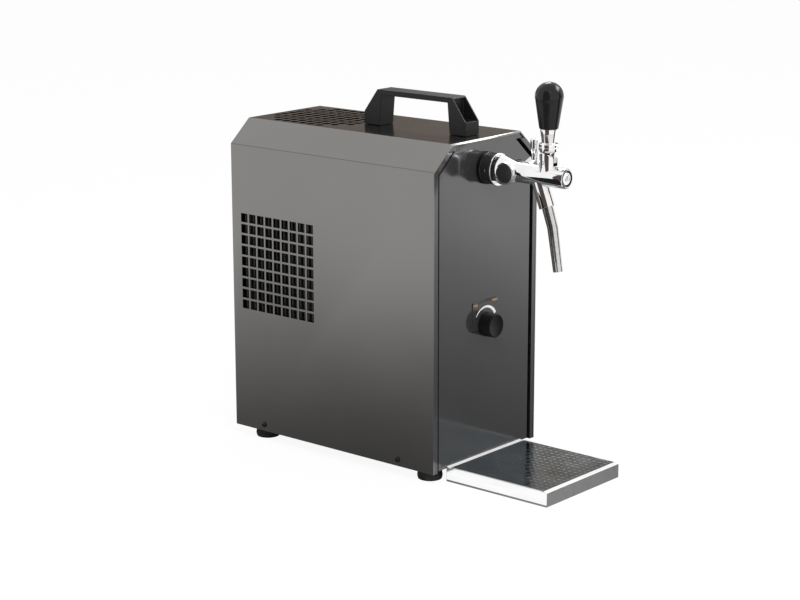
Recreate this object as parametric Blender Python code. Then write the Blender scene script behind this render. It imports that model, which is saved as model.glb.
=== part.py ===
"""Counter-top draft beer dispenser: bent sheet cabinet, dry cooler, side-lever tap and drip tray.

Metres, +Z up. The tap faces -Y and the feet stand on z = 0.
"""
import math

import bmesh
import bpy
from mathutils import Matrix, Vector

for leftover in list(bpy.data.objects):
    bpy.data.objects.remove(leftover, do_unlink=True)

# Clearances and overruns shared by all pieces
SEAT = 0.0003            # gap between pieces that rest on each other
RUNNING = 0.00008        # radial play of a shaft that turns or slides in its bore
SWING = 0.0006           # play round pieces that swing past a fixed one
OVERRUN = 0.002          # how far a cutter runs past the face it cuts
FUSE = 0.0005            # how deep joined shapes reach into each other

# Roundness, as sides of a full turn
SMALL_SIDES = 12
MIDDLE_SIDES = 20
LARGE_SIDES = 32
BEND_STEPS = 3

# Cabinet cover, one bent sheet open at the front, the rear and below
FOOT_HEIGHT = 0.013
COVER_WIDTH = 0.180
COVER_HEIGHT = 0.357
COVER_DEPTH = 0.298
CHAMFER_WIDTH = 0.030
CHAMFER_DROP = 0.026
COVER_SHEET = 0.0015
COVER_BEND = 0.0025
HEM_THICKNESS = 0.0068
HEM_DEPTH = 0.010
HEM_OVERLAP = 0.0005
COVER_BOTTOM = FOOT_HEIGHT
COVER_TOP = COVER_BOTTOM + COVER_HEIGHT
HALF_WIDTH = COVER_WIDTH / 2

# Drip tray that stands against the front panel
PANEL_RECESS = 0.0018
TRAY_START = SEAT - PANEL_RECESS
TRAY_WIDTH = 0.132
TRAY_DEPTH = 0.1355
TRAY_HEIGHT = 0.017
TRAY_SIDE_WALL = 0.0015
TRAY_HEM = 0.005
TRAY_FLOOR = 0.0015
GRID_DROP = 0.0006
GRID_SHEET = 0.0012
GRID_SKIRT = 0.001
GRID_HOLE = 0.003
GRID_HOLE_SIDES = 4
GRID_PITCH = 0.015
GRID_BORDER = 0.010

# Beer inlet, a push-in bulkhead fitting through the rear panel
REAR_INSET = 0.001
REAR_SHEET = 0.0015
INLET_FLANGE_RADIUS = 0.010
INLET_FLANGE_LENGTH = 0.005
INLET_RADIUS = 0.008
INLET_NOSE = 0.0062
INLET_TAIL = 0.018
INLET_BORE = 0.0047
COLLET_BORE = 0.0041
COLLET_RADIUS = 0.0057
COLLET_HEAD_RADIUS = 0.0075
COLLET_HEAD = 0.002
COLLET_SLEEVE = 0.010
COLLET_TRAVEL = 0.0015

# Depths are measured back from the plane of the cover's front edge
REAR_FACE = COVER_DEPTH - REAR_INSET
INLET_MOUTH = REAR_FACE + SEAT + INLET_FLANGE_LENGTH + INLET_NOSE
COLLET_HEAD_BACK = INLET_MOUTH + COLLET_TRAVEL + SEAT
REAR_REACH = COLLET_HEAD_BACK + COLLET_HEAD
TRAY_REACH = TRAY_START + TRAY_DEPTH
FRONT_Y = TRAY_REACH - (TRAY_REACH + REAR_REACH) / 2


def back(depth):
    """World Y of a place this far behind the front plane."""
    return FRONT_Y + depth


def ahead(distance):
    """World Y of a place this far in front of the front plane."""
    return FRONT_Y - distance


# Vents in the cover; the side vents are centred on the fan
SIDE_VENT_COUNT = 9
SIDE_VENT_PITCH = 0.0126
SIDE_VENT_HOLE = 0.0102
TOP_VENT_ROWS = 10
TOP_VENT_CORNER = 2
TOP_VENT_PITCH = 0.0124
TOP_VENT_RADIUS = 0.0050
TOP_VENT_SIDE_MARGIN = 0.005
TOP_VENT_REAR_MARGIN = 0.012
TOP_VENT_SIDES = 8
TOP_VENT_REACH = HALF_WIDTH - CHAMFER_WIDTH - TOP_VENT_SIDE_MARGIN - TOP_VENT_RADIUS
TOP_VENT_COLUMNS = 1 + int(2 * TOP_VENT_REACH / TOP_VENT_PITCH)
TOP_VENT_FRONT = (COVER_DEPTH - TOP_VENT_REAR_MARGIN - (TOP_VENT_ROWS - 1) * TOP_VENT_PITCH
                  - TOP_VENT_RADIUS)

# Front panel, a flanged tray inside the cover behind a shadow gap
PANEL_GAP = 0.0047
PANEL_SHEET = 0.0015
PANEL_FLANGE = 0.0145
TOP_BAND = 0.008
SEAL_DEPTH = 0.005
PANEL_FRONT = PANEL_RECESS
PANEL_BACK = PANEL_FRONT + PANEL_SHEET
FLANGE_END = PANEL_BACK + PANEL_FLANGE
BAND_Z = COVER_TOP - TOP_BAND

# Base pan, rear panel
BASE_LIFT = 0.0015
BASE_SHEET = 0.0015
BASE_WALL = 0.0155
BASE_BOTTOM = COVER_BOTTOM + BASE_LIFT
BASE_FLOOR = BASE_BOTTOM + BASE_SHEET
BASE_TOP = BASE_BOTTOM + BASE_WALL
PANEL_BOTTOM = BASE_BOTTOM
INNER_X = HALF_WIDTH - COVER_SHEET - SEAT
REAR_FLANGE = 0.010
REAR_SLOT_COUNT = 7
REAR_SLOT_LENGTH = 0.092
REAR_SLOT_WIDTH = 0.005
REAR_SLOT_PITCH = 0.012
REAR_SLOT_Z = 0.170
REAR_BACK = REAR_FACE - REAR_SHEET

# Screws, feet
SCREW_HEAD_RADIUS = 0.0033
SCREW_HEAD_HEIGHT = 0.0018
SCREW_RADIUS = 0.0018
SCREW_REACH = 0.0065
SCREW_FRONT_DEPTH = 0.051
SCREW_REAR_INSET = 0.045
SCREW_RISE = 0.006
FOOT_SIDE_INSET = 0.022
FOOT_FRONT_DEPTH = 0.023
FOOT_REAR_INSET = 0.030
FOOT_RADIUS = 0.014
FOOT_BASE_RADIUS = 0.0132
FOOT_TOP_RADIUS = 0.0125
FOOT_BELLY = 0.004
FOOT_STUD_RADIUS = 0.003
FOOT_STUD_SHARE = 0.8
SCREW_Z = BASE_BOTTOM + SCREW_RISE
SCREW_REAR_DEPTH = COVER_DEPTH - SCREW_REAR_INSET
FOOT_X = HALF_WIDTH - FOOT_SIDE_INSET

# Carry handle and its bolts
HANDLE_WIDTH = 0.024
HANDLE_FRONT_DEPTH = 0.021
HANDLE_VENT_GAP = 0.0044
HANDLE_LEG = 0.022
HANDLE_LEG_TAPER = 0.003
HANDLE_UPRIGHT = 0.0147
HANDLE_RISE = 0.0405
HANDLE_SLOPE_RUN = 0.019
HANDLE_BAR = 0.006
HANDLE_POCKET_WALL = 0.002
BOLT_RADIUS = 0.0025
BOLT_HEAD_RADIUS = 0.0045
BOLT_HEAD_HEIGHT = 0.003
BOLT_REACH = 0.011
HANDLE_BASE = COVER_TOP + SEAT
HANDLE_LENGTH = TOP_VENT_FRONT - HANDLE_VENT_GAP - HANDLE_FRONT_DEPTH

# Tap, on one axis square to the panel; lengths run out from the front plane
TAP_DROP = 0.0327
LEVER_OUT = 0.081
SHANK_RADIUS = 0.011
SHANK_BORE = 0.005
SHANK_TAIL = 0.042
COLLAR_END = 0.0152
COLLAR_RADIUS = 0.0169
COLLAR_FLANGE = 0.0025
COLLAR_FLANGE_RADIUS = 0.0176
SHANK_NUT_RADIUS = 0.016
SHANK_NUT_LENGTH = 0.008
SET_SCREW_OUT = 0.0093
SET_SCREW_RADIUS = 0.0012
SET_SCREW_PROUD = 0.0004
SET_SCREW_DEPTH = 0.002
HEX_SIDES = 6
COUPLING_RIM_RADIUS = 0.0176
COUPLING_RIM = 0.0015
COUPLING_RADIUS = 0.0130
COUPLING_LENGTH = 0.0058
SHANK_REACH = 0.0197
BARREL_RADIUS = 0.0108
NOSE_REACH = 0.025
SHOULDER_RADIUS = 0.0157
SHOULDER_END = 0.039
CROSS_OUT = 0.0337
CROSS_DROP = 0.0006
CROSS_RADIUS = 0.0118
CROSS_HALF = 0.0142
CAP_RADIUS = 0.0098
CAP_DEPTH = 0.0018
CAP_PROUD = 0.001
VALVE_BORE = 0.0087
VALVE_BORE_START = 0.045
NOSE_CHAMFER = 0.001
NOSE_PLUG_LENGTH = 0.006
NOSE_PLUG_RECESS = 0.003
SOCKET_RADIUS = 0.0035
SOCKET_DEPTH = 0.003
TAP_Z = COVER_TOP - TAP_DROP
BARREL_REACH = LEVER_OUT + NOSE_REACH
COUPLING_START = COLLAR_END + SEAT
COUPLING_END = COUPLING_START + COUPLING_LENGTH
BODY_START = SHANK_REACH + SEAT
CROSS_Z = TAP_Z - CROSS_DROP

# Lever knuckle on top of the barrel
KNUCKLE_RADIUS = 0.0098
PIVOT_RISE = 0.0155
KNUCKLE_DOME = 0.010
TONGUE_HALF = 0.003
TONGUE_DEPTH = 0.008
TAIL_DEPTH = 0.005
TAIL_DROP = 0.0135
PIN_RADIUS = 0.0015
PIN_SHORT = 0.0004
BARREL_SLOT_HALF = 0.0068
LEVER_RING_RADIUS = 0.0104
LEVER_RING = 0.0094
RING_CHAMFER = 0.0006
RING_CLEAR = 0.0004
FERRULE = 0.0149
FERRULE_BOTTOM_RADIUS = 0.0074
FERRULE_TOP_RADIUS = 0.0091
STUD_RADIUS = 0.0035
STUD_LENGTH = 0.013
GRIP_BOTTOM_RADIUS = 0.0102
GRIP_RADIUS = 0.0153
GRIP_STRAIGHT = 0.0338
GRIP_DOME_STEPS = 6
PIVOT_Z = TAP_Z + PIVOT_RISE
RING_Z = PIVOT_Z + KNUCKLE_DOME + RING_CLEAR
FERRULE_Z = RING_Z + LEVER_RING
GRIP_Z = FERRULE_Z + FERRULE + SEAT

# Valve spindle and compensator inside the tap
SPINDLE_RADIUS = 0.004
SEAL_START = 0.056
SEAL_LENGTH = 0.006
SPINDLE_GAP = 0.004
GROOVE_HALF = 0.0040
CONE_TIP_RADIUS = 0.0015
CONE_START = 0.008
CONE_LENGTH = 0.016
CONE_GUIDE = 0.005
COMP_HUB_RADIUS = 0.008
COMP_PLATE = 0.004
COMP_SHAFT_RADIUS = 0.003
COMP_ARM_WIDTH = 0.0085
COMP_ARM_OUT = 0.0147
COMP_ARM_RISE = 0.0125
COMP_TAB_HEIGHT = 0.0228
COMP_TAB_RADIUS = 0.0042
COMP_TAB_WAIST = 0.0028
COMP_TAB_WAIST_RISE = 0.0065
SPINDLE_END = BARREL_REACH - NOSE_PLUG_RECESS - NOSE_PLUG_LENGTH - SPINDLE_GAP

# Spout, a sleeve on the barrel and a tube that bends once
SPOUT_OUT = 0.0695
SPOUT_TOP_DROP = 0.0038
SLEEVE_LEAN = math.radians(21.5)
SLEEVE_LENGTH = 0.0315
SLEEVE_RADIUS = 0.0091
SPOUT_TOP_RADIUS = 0.0062
SPOUT_END_RADIUS = 0.0053
SPOUT_WALL = 0.0008
SPOUT_TAPER_SHARES = (0, 0, 0.35, 1)
SPOUT_BEND_LEAN = math.radians(18.5)
SPOUT_BEND_LENGTH = 0.0224
SPOUT_END_LEAN = math.radians(9.6)
SPOUT_END_LENGTH = 0.0468
SPOUT_HOLE = 0.0045

# Thermostat, its scale plate and knob
KNOB_Z = 0.1642
KNOB_RADIUS = 0.0134
KNOB_FRONT_RADIUS = 0.0131
KNOB_BEVEL = 0.0007
KNOB_LENGTH = 0.015
KNOB_STEM_RADIUS = 0.003
KNOB_STEM_DEPTH = 0.018
SCALE_WIDTH = 0.044
SCALE_ABOVE = 0.0268
SCALE_BELOW = 0.005
SCALE_SHEET = 0.0008
SCALE_CORNER = 0.002
THERMOSTAT_SIZE = 0.030
THERMOSTAT_DEPTH = 0.022
SCALE_FRONT = SCALE_SHEET + SEAT - PANEL_RECESS

# Condenser's width at the cabinet's left side
CONDENSER_THICKNESS = 0.027
CONDENSER_SIDE_GAP = 0.0024
SHROUD_SHEET = 0.0015
SHROUD_X = CONDENSER_SIDE_GAP + CONDENSER_THICKNESS + SEAT + SHROUD_SHEET - INNER_X

# Compressor on its mounts, as wide as the shroud's leg leaves room for
COMPRESSOR_REAR_GAP = 0.0135
COMPRESSOR_SIDE_GAP = 0.003
COMPRESSOR_PLATE_LIP = 0.004
COMPRESSOR_SHELL = 0.096
COMPRESSOR_DOME = 0.022
COMPRESSOR_SKIRT = 0.006
COMPRESSOR_PLATE = 0.0025
MOUNT_RADIUS = 0.007
MOUNT_HEIGHT = 0.006
MOUNT_INSET = 0.009
PORT_RADIUS = 0.005
PORT_RISE = 0.006
SUCTION_SHARE = 0.6
DISCHARGE_SHARE = 0.4
COMPRESSOR_PLATE_HALF = -SHROUD_X - COMPRESSOR_SIDE_GAP
COMPRESSOR_RADIUS = COMPRESSOR_PLATE_HALF - COMPRESSOR_PLATE_LIP
COMPRESSOR_DEPTH = REAR_BACK - COMPRESSOR_REAR_GAP - COMPRESSOR_RADIUS
MOUNT_SPACING = COMPRESSOR_PLATE_HALF - MOUNT_INSET
SUCTION_X = COMPRESSOR_RADIUS * SUCTION_SHARE
DISCHARGE_X = COMPRESSOR_RADIUS * DISCHARGE_SHARE
DISCHARGE_DEPTH = COMPRESSOR_DEPTH + COMPRESSOR_RADIUS * SUCTION_SHARE
MOUNT_BASE = BASE_FLOOR + SEAT
COMPRESSOR_BASE = MOUNT_BASE + MOUNT_HEIGHT + SEAT
COMPRESSOR_TOP = COMPRESSOR_BASE + COMPRESSOR_PLATE + COMPRESSOR_SHELL + COMPRESSOR_DOME
PORT_Z = COMPRESSOR_TOP + PORT_RISE

# Insulated cooling block between the front panel and the compressor
BOX_SIDE_GAP = 0.0222
BOX_FRONT_GAP = 0.0122
BOX_REAR_GAP = 0.018
BOX_HEADROOM = 0.0697
BOX_WALL = 0.012
LID_HEIGHT = 0.0115
BLOCK_HEADROOM = 0.010
TUBE_HOLE_RADIUS = 0.006
BOX_HALF_WIDTH = INNER_X - BOX_SIDE_GAP
BOX_FRONT_DEPTH = FLANGE_END + BOX_FRONT_GAP
BOX_BACK_DEPTH = COMPRESSOR_DEPTH - COMPRESSOR_PLATE_HALF - BOX_REAR_GAP
BOX_BASE = BASE_FLOOR + SEAT
BOX_TOP = COVER_TOP - BOX_HEADROOM
BLOCK_TOP = BOX_TOP - BLOCK_HEADROOM
LID_TOP = BOX_TOP + SEAT + LID_HEIGHT

# Condenser, fan and shroud behind the left side vent, above the compressor
CONDENSER_FRONT_GAP = 0.0115
CONDENSER_REAR_GAP = 0.010
CONDENSER_LIFT = 0.0079
CONDENSER_TOP_DROP = 0.0431
CONDENSER_SPINE = 0.005
FIN_THICKNESS = 0.0025
FIN_PITCH = 0.006
SHROUD_RISE = 0.004
SHROUD_LEG = 0.078
SHROUD_FOOT = 0.022
DUCT_MARGIN = 0.007
DUCT_WALL = 0.0015
DUCT_LENGTH = 0.020
CONDENSER_FRONT_DEPTH = BOX_BACK_DEPTH + CONDENSER_FRONT_GAP
CONDENSER_LENGTH = REAR_BACK - CONDENSER_REAR_GAP - CONDENSER_FRONT_DEPTH
CONDENSER_BOTTOM = COMPRESSOR_TOP + CONDENSER_LIFT
CONDENSER_TOP = LID_TOP - CONDENSER_TOP_DROP
CONDENSER_HEIGHT = CONDENSER_TOP - CONDENSER_BOTTOM
DUCT_RADIUS = CONDENSER_HEIGHT / 2 - DUCT_MARGIN
FAN_Z = CONDENSER_BOTTOM + CONDENSER_HEIGHT / 2
FAN_DEPTH = CONDENSER_FRONT_DEPTH + CONDENSER_LENGTH / 2
BLADE_COUNT = 5
BLADE_GAP = 0.003
BLADE_CHORD = 0.025
BLADE_SHEET = 0.0016
BLADE_PITCH = math.radians(30)
HUB_RADIUS = 0.014
HUB_LENGTH = 0.010
HUB_SETBACK = 0.005
ARM_WIDTH = 0.012
ARM_SHEET = 0.002
ARM_HOLE = 0.0045
MOTOR_RADIUS = 0.022
MOTOR_LENGTH = 0.028
MOTOR_BEVEL = 0.003
FAN_SHAFT_RADIUS = 0.0025
FAN_SHAFT_ENGAGED = 0.018
CONDENSER_X = SHROUD_X - SHROUD_SHEET - SEAT
DUCT_END_X = SHROUD_X + DUCT_LENGTH
ARM_X = DUCT_END_X + SEAT
MOTOR_X = ARM_X + ARM_SHEET + SEAT
BLADE_REACH = DUCT_RADIUS - BLADE_GAP

# Tubes
BEER_TUBE = 0.004
SUCTION_TUBE = 0.004
DISCHARGE_TUBE = 0.003
LIQUID_TUBE = 0.002
TUBE_BEND = 0.012
LIQUID_BEND = 0.006
BEER_OUT_MARGIN = 0.024
REAR_PORT_MARGIN = 0.018
INLET_PORT_MARGIN = 0.014
INLET_RISE = 0.0099
LINE_RISE = 0.0199
DISCHARGE_RISE = 0.021
LIQUID_GAP = 0.017
LIQUID_CLEAR = 0.002
LIQUID_SHARE = 0.25
DRIER_RADIUS = 0.009
DRIER_START = 0.008
DRIER_LENGTH = 0.040
DRIER_NECK = 0.004
INLET_X = BOX_WALL + INLET_PORT_MARGIN - BOX_HALF_WIDTH
INLET_Z = LID_TOP + INLET_RISE
LIQUID_X = INLET_X * LIQUID_SHARE
LIQUID_DEPTH = BOX_BACK_DEPTH + DRIER_RADIUS + LIQUID_GAP
LINE_Z = LID_TOP + LINE_RISE
BEER_OUT_DEPTH = BOX_FRONT_DEPTH + BOX_WALL + BEER_OUT_MARGIN
REAR_PORT_DEPTH = BOX_BACK_DEPTH - BOX_WALL - REAR_PORT_MARGIN
DISCHARGE_Z = CONDENSER_TOP + DISCHARGE_RISE
CONDENSER_PORT_X = CONDENSER_X - CONDENSER_THICKNESS / 2

# Power inlet and rocker switch in the rear panel
SOCKET_SIDE_GAP = 0.0057
SWITCH_SIDE_GAP = 0.0142
POWER_Z = 0.060
SOCKET_WIDTH = 0.027
SOCKET_HEIGHT = 0.020
SOCKET_BODY = 0.022
SOCKET_WALL = 0.002
SOCKET_CAVITY = 0.015
SOCKET_RIM = 0.003
RIM_SHEET = 0.002
SWITCH_WIDTH = 0.022
SWITCH_HEIGHT = 0.026
SWITCH_BODY = 0.018
ROCKER_HALF = 0.0088
ROCKER_WIDTH = 0.0165
ROCKER_CAVITY = 0.011
ROCKER_PIVOT_INSET = 0.002
ROCKER_FACE = 0.0035
ROCKER_CROWN = 0.0016
ROCKER_KEEL = 0.0045
ROCKER_REST = math.radians(9)
SOCKET_X = SOCKET_SIDE_GAP + SOCKET_RIM + SOCKET_WIDTH / 2 - INNER_X
SWITCH_X = INNER_X - SWITCH_SIDE_GAP - SOCKET_RIM - SWITCH_WIDTH / 2

# Materials as colour, roughness and metallic value
FINISHES = {
    "cover_steel": ((0.150, 0.147, 0.143), 0.35, 0.90),
    "panel_steel": ((0.100, 0.100, 0.102), 0.14, 0.90),
    "zinc_sheet": ((0.420, 0.430, 0.440), 0.45, 0.90),
    "black_plastic": ((0.018, 0.018, 0.019), 0.45, 0.00),
    "gloss_black": ((0.010, 0.010, 0.011), 0.12, 0.00),
    "rubber": ((0.015, 0.015, 0.015), 0.80, 0.00),
    "black_screw": ((0.020, 0.020, 0.020), 0.40, 0.60),
    "chrome": ((0.780, 0.780, 0.780), 0.08, 1.00),
    "stainless": ((0.560, 0.560, 0.570), 0.22, 1.00),
    "aluminium": ((0.600, 0.610, 0.620), 0.40, 1.00),
    "copper": ((0.720, 0.350, 0.200), 0.30, 1.00),
    "foam": ((0.080, 0.080, 0.085), 0.95, 0.00),
    "shell_black": ((0.020, 0.020, 0.022), 0.35, 0.20),
    "tube_clear": ((0.600, 0.620, 0.640), 0.30, 0.00),
    "white_plastic": ((0.700, 0.700, 0.680), 0.40, 0.00),
}
MATERIALS = {}
for finish, (colour, roughness, metallic) in FINISHES.items():
    surface = bpy.data.materials.new(finish)
    surface.use_nodes = True
    shader = surface.node_tree.nodes["Principled BSDF"]
    shader.inputs["Base Color"].default_value = (*colour, 1.0)
    shader.inputs["Roughness"].default_value = roughness
    shader.inputs["Metallic"].default_value = metallic
    MATERIALS[finish] = surface

SMOOTH_ANGLE = math.radians(35)


# Outlines and paths

def rounded(points, radius, steps=BEND_STEPS, closed=False):
    """Points of a path whose inner corners are replaced by arcs."""
    points = [Vector(p) for p in points]
    count = len(points)
    result = []
    for i, corner in enumerate(points):
        if not closed and i in (0, count - 1):
            result.append(corner)
            continue
        to_last = (points[i - 1] - corner).normalized()
        to_next = (points[(i + 1) % count] - corner).normalized()
        half = to_last.angle(to_next) / 2
        centre = corner + (to_last + to_next).normalized() * (radius / math.sin(half))
        run = radius / math.tan(half)
        first = (corner + to_last * run - centre).normalized()
        last = (corner + to_next * run - centre).normalized()
        for step in range(steps + 1):
            result.append(centre + first.slerp(last, step / steps) * radius)
    return result


def offset_path(path, distance):
    """The path moved to the right of its direction of travel, with mitred corners."""
    path = [Vector(p) for p in path]
    normals = []
    for start, end in zip(path, path[1:]):
        run = (end - start).normalized()
        normals.append(Vector((run.y, -run.x)))
    moved = [path[0] + normals[0] * distance]
    for point, before, after in zip(path[1:-1], normals, normals[1:]):
        moved.append(point + (before + after) * (distance / (1 + before.dot(after))))
    moved.append(path[-1] + normals[-1] * distance)
    return moved


def strip(path, near, far):
    """Closed outline of a sheet between two offsets of a path."""
    return offset_path(path, near) + list(reversed(offset_path(path, far)))


def rectangle(low_a, high_a, low_b, high_b):
    return [(low_a, low_b), (high_a, low_b), (high_a, high_b), (low_a, high_b)]


def mirrored(half_outline):
    """Close a left half outline with its copy on the right."""
    return list(half_outline) + [(-x, z) for x, z in reversed(half_outline)]


def skin_path():
    """The cover's outer line in X and Z, up the left side and down the right."""
    top_x = HALF_WIDTH - CHAMFER_WIDTH
    shoulder = COVER_TOP - CHAMFER_DROP
    left = [(-HALF_WIDTH, COVER_BOTTOM), (-HALF_WIDTH, shoulder), (-top_x, COVER_TOP)]
    return mirrored(left)


def skin_corners(inset):
    """Lower and upper chamfer corner on the left, this far inside the skin."""
    inner = offset_path(skin_path(), inset)
    return inner[1], inner[2]


def chamfer_point(inset, height):
    low, high = skin_corners(inset)
    along = (height - low.y) / (high.y - low.y)
    return low + (high - low) * along


def side_line(inset, bottom, top):
    """Left side and chamfer as a path at one inset, cut off at a height."""
    low = skin_corners(inset)[0]
    return [Vector((low.x, bottom)), low, chamfer_point(inset, top)]


# Mesh builders

def on_axis(axis, along, first, second):
    """A point from its place along an axis and its two other coordinates in X, Y, Z order."""
    if axis == "X":
        return (along, first, second)
    if axis == "Y":
        return (first, along, second)
    return (first, second, along)


def add_prism(mesh, outline, axis, low, high):
    """A closed outline pushed along an axis."""
    near = [mesh.verts.new(on_axis(axis, low, *point)) for point in outline]
    far = [mesh.verts.new(on_axis(axis, high, *point)) for point in outline]
    mesh.faces.new(near)
    mesh.faces.new(list(reversed(far)))
    count = len(outline)
    for i in range(count):
        j = (i + 1) % count
        mesh.faces.new((near[j], near[i], far[i], far[j]))


def add_box(mesh, x_range, y_range, z_range):
    add_prism(mesh, rectangle(*x_range, *y_range), "Z", *z_range)


def add_lathe(mesh, profile, axis, centre, sides=MIDDLE_SIDES, closed=False):
    """Turn a profile of radius and place along the axis; closed makes a ring."""
    rings = []
    for radius, along in profile:
        if radius == 0:
            rings.append([mesh.verts.new(on_axis(axis, along, *centre))])
            continue
        ring = []
        for side in range(sides):
            turn = math.tau * (side + 0.5) / sides
            first = centre[0] + radius * math.cos(turn)
            second = centre[1] + radius * math.sin(turn)
            ring.append(mesh.verts.new(on_axis(axis, along, first, second)))
        rings.append(ring)
    pairs = list(zip(rings, rings[1:]))
    if closed:
        pairs.append((rings[-1], rings[0]))
    for here, there in pairs:
        for side in range(sides):
            after = (side + 1) % sides
            if len(here) == 1:
                mesh.faces.new((here[0], there[side], there[after]))
            elif len(there) == 1:
                mesh.faces.new((here[side], there[0], here[after]))
            else:
                mesh.faces.new((here[side], there[side], there[after], here[after]))


def add_cylinder(mesh, radius, axis, centre, low, high, sides=MIDDLE_SIDES):
    add_lathe(mesh, [(0, low), (radius, low), (radius, high), (0, high)], axis, centre, sides)


def bore(shaft_radius, sides, play=RUNNING):
    """Corner radius of a faceted hole whose flats clear the shaft by the play."""
    return (shaft_radius + play) / math.cos(math.pi / sides)


def path_frames(points):
    """Cross directions at each point of a path, carried along without twist."""
    points = [Vector(p) for p in points]
    count = len(points)
    tangents = []
    for i in range(count):
        start = points[max(i - 1, 0)]
        end = points[min(i + 1, count - 1)]
        tangents.append((end - start).normalized())
    start = tangents[0]
    across = abs(start.x) < abs(start.y) + abs(start.z)
    helper = Vector((1, 0, 0)) if across else Vector((0, 0, 1))
    side = start.cross(helper).normalized()
    frames = []
    for i, tangent in enumerate(tangents):
        if i:
            side = (side - tangent * side.dot(tangent)).normalized()
        frames.append((points[i], side, tangent.cross(side)))
    return frames


def tube_ring(mesh, frame, radius, sides):
    centre, across, upward = frame
    ring = []
    for side in range(sides):
        turn = math.tau * side / sides
        offset = across * math.cos(turn) + upward * math.sin(turn)
        ring.append(mesh.verts.new(centre + offset * radius))
    return ring


def add_tube(mesh, points, radii, sides=SMALL_SIDES, wall=0):
    """A tube along a path, solid or with a bore that leaves the wall."""
    frames = path_frames(points)
    rings = [tube_ring(mesh, frame, radius, sides) for frame, radius in zip(frames, radii)]
    if wall:
        inner = [tube_ring(mesh, frame, radius - wall, sides) for frame, radius in zip(frames, radii)]
        rings = rings + list(reversed(inner))
        pairs = list(zip(rings, rings[1:])) + [(rings[-1], rings[0])]
    else:
        mesh.faces.new(rings[0])
        mesh.faces.new(list(reversed(rings[-1])))
        pairs = list(zip(rings, rings[1:]))
    for here, there in pairs:
        for side in range(sides):
            after = (side + 1) % sides
            mesh.faces.new((here[side], there[side], there[after], here[after]))


def finish_object(name, mesh, finish=None, origin=(0, 0, 0), smooth=False):
    """Turn a bmesh in world places into an object whose origin is the given point."""
    bmesh.ops.recalc_face_normals(mesh, faces=mesh.faces)
    data = bpy.data.meshes.new(name)
    mesh.to_mesh(data)
    mesh.free()
    data.transform(Matrix.Translation(-Vector(origin)))
    if smooth:
        data.shade_smooth()
        data.set_sharp_from_angle(angle=SMOOTH_ANGLE)
    shape = bpy.data.objects.new(name, data)
    shape.location = origin
    bpy.context.collection.objects.link(shape)
    if finish:
        data.materials.append(MATERIALS[finish])
    return shape


def boolean(target, mesh, operation="DIFFERENCE"):
    """Cut or join a bmesh in world places with the target, as a live modifier."""
    helper = finish_object(f"{target.name}_{operation.lower()}_{len(target.modifiers)}", mesh)
    helper.hide_render = True
    helper.display_type = "WIRE"
    modifier = target.modifiers.new(helper.name, "BOOLEAN")
    modifier.operation = operation
    modifier.solver = "EXACT"
    modifier.object = helper


def cut_round(target, radius, axis, centre, low, high, sides=SMALL_SIDES):
    cutter = bmesh.new()
    add_cylinder(cutter, radius, axis, centre, low, high, sides)
    boolean(target, cutter)


def turned(name, profile, axis, centre, finish, sides=MIDDLE_SIDES, closed=False, origin=(0, 0, 0)):
    """A turned piece as its own object."""
    mesh = bmesh.new()
    add_lathe(mesh, profile, axis, centre, sides, closed)
    return finish_object(name, mesh, finish, origin, smooth=True)


def pushed(name, outline, axis, low, high, finish, origin=(0, 0, 0)):
    """A pushed outline as its own object."""
    mesh = bmesh.new()
    add_prism(mesh, outline, axis, low, high)
    return finish_object(name, mesh, finish, origin)


# Cabinet

def handle_bolt_depths():
    """Depth of the two handle legs' middles."""
    first = HANDLE_FRONT_DEPTH + HANDLE_LEG / 2
    last = HANDLE_FRONT_DEPTH + HANDLE_LENGTH - HANDLE_LEG / 2
    return first, last


def screw_depths():
    return SCREW_FRONT_DEPTH, SCREW_REAR_DEPTH


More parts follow.
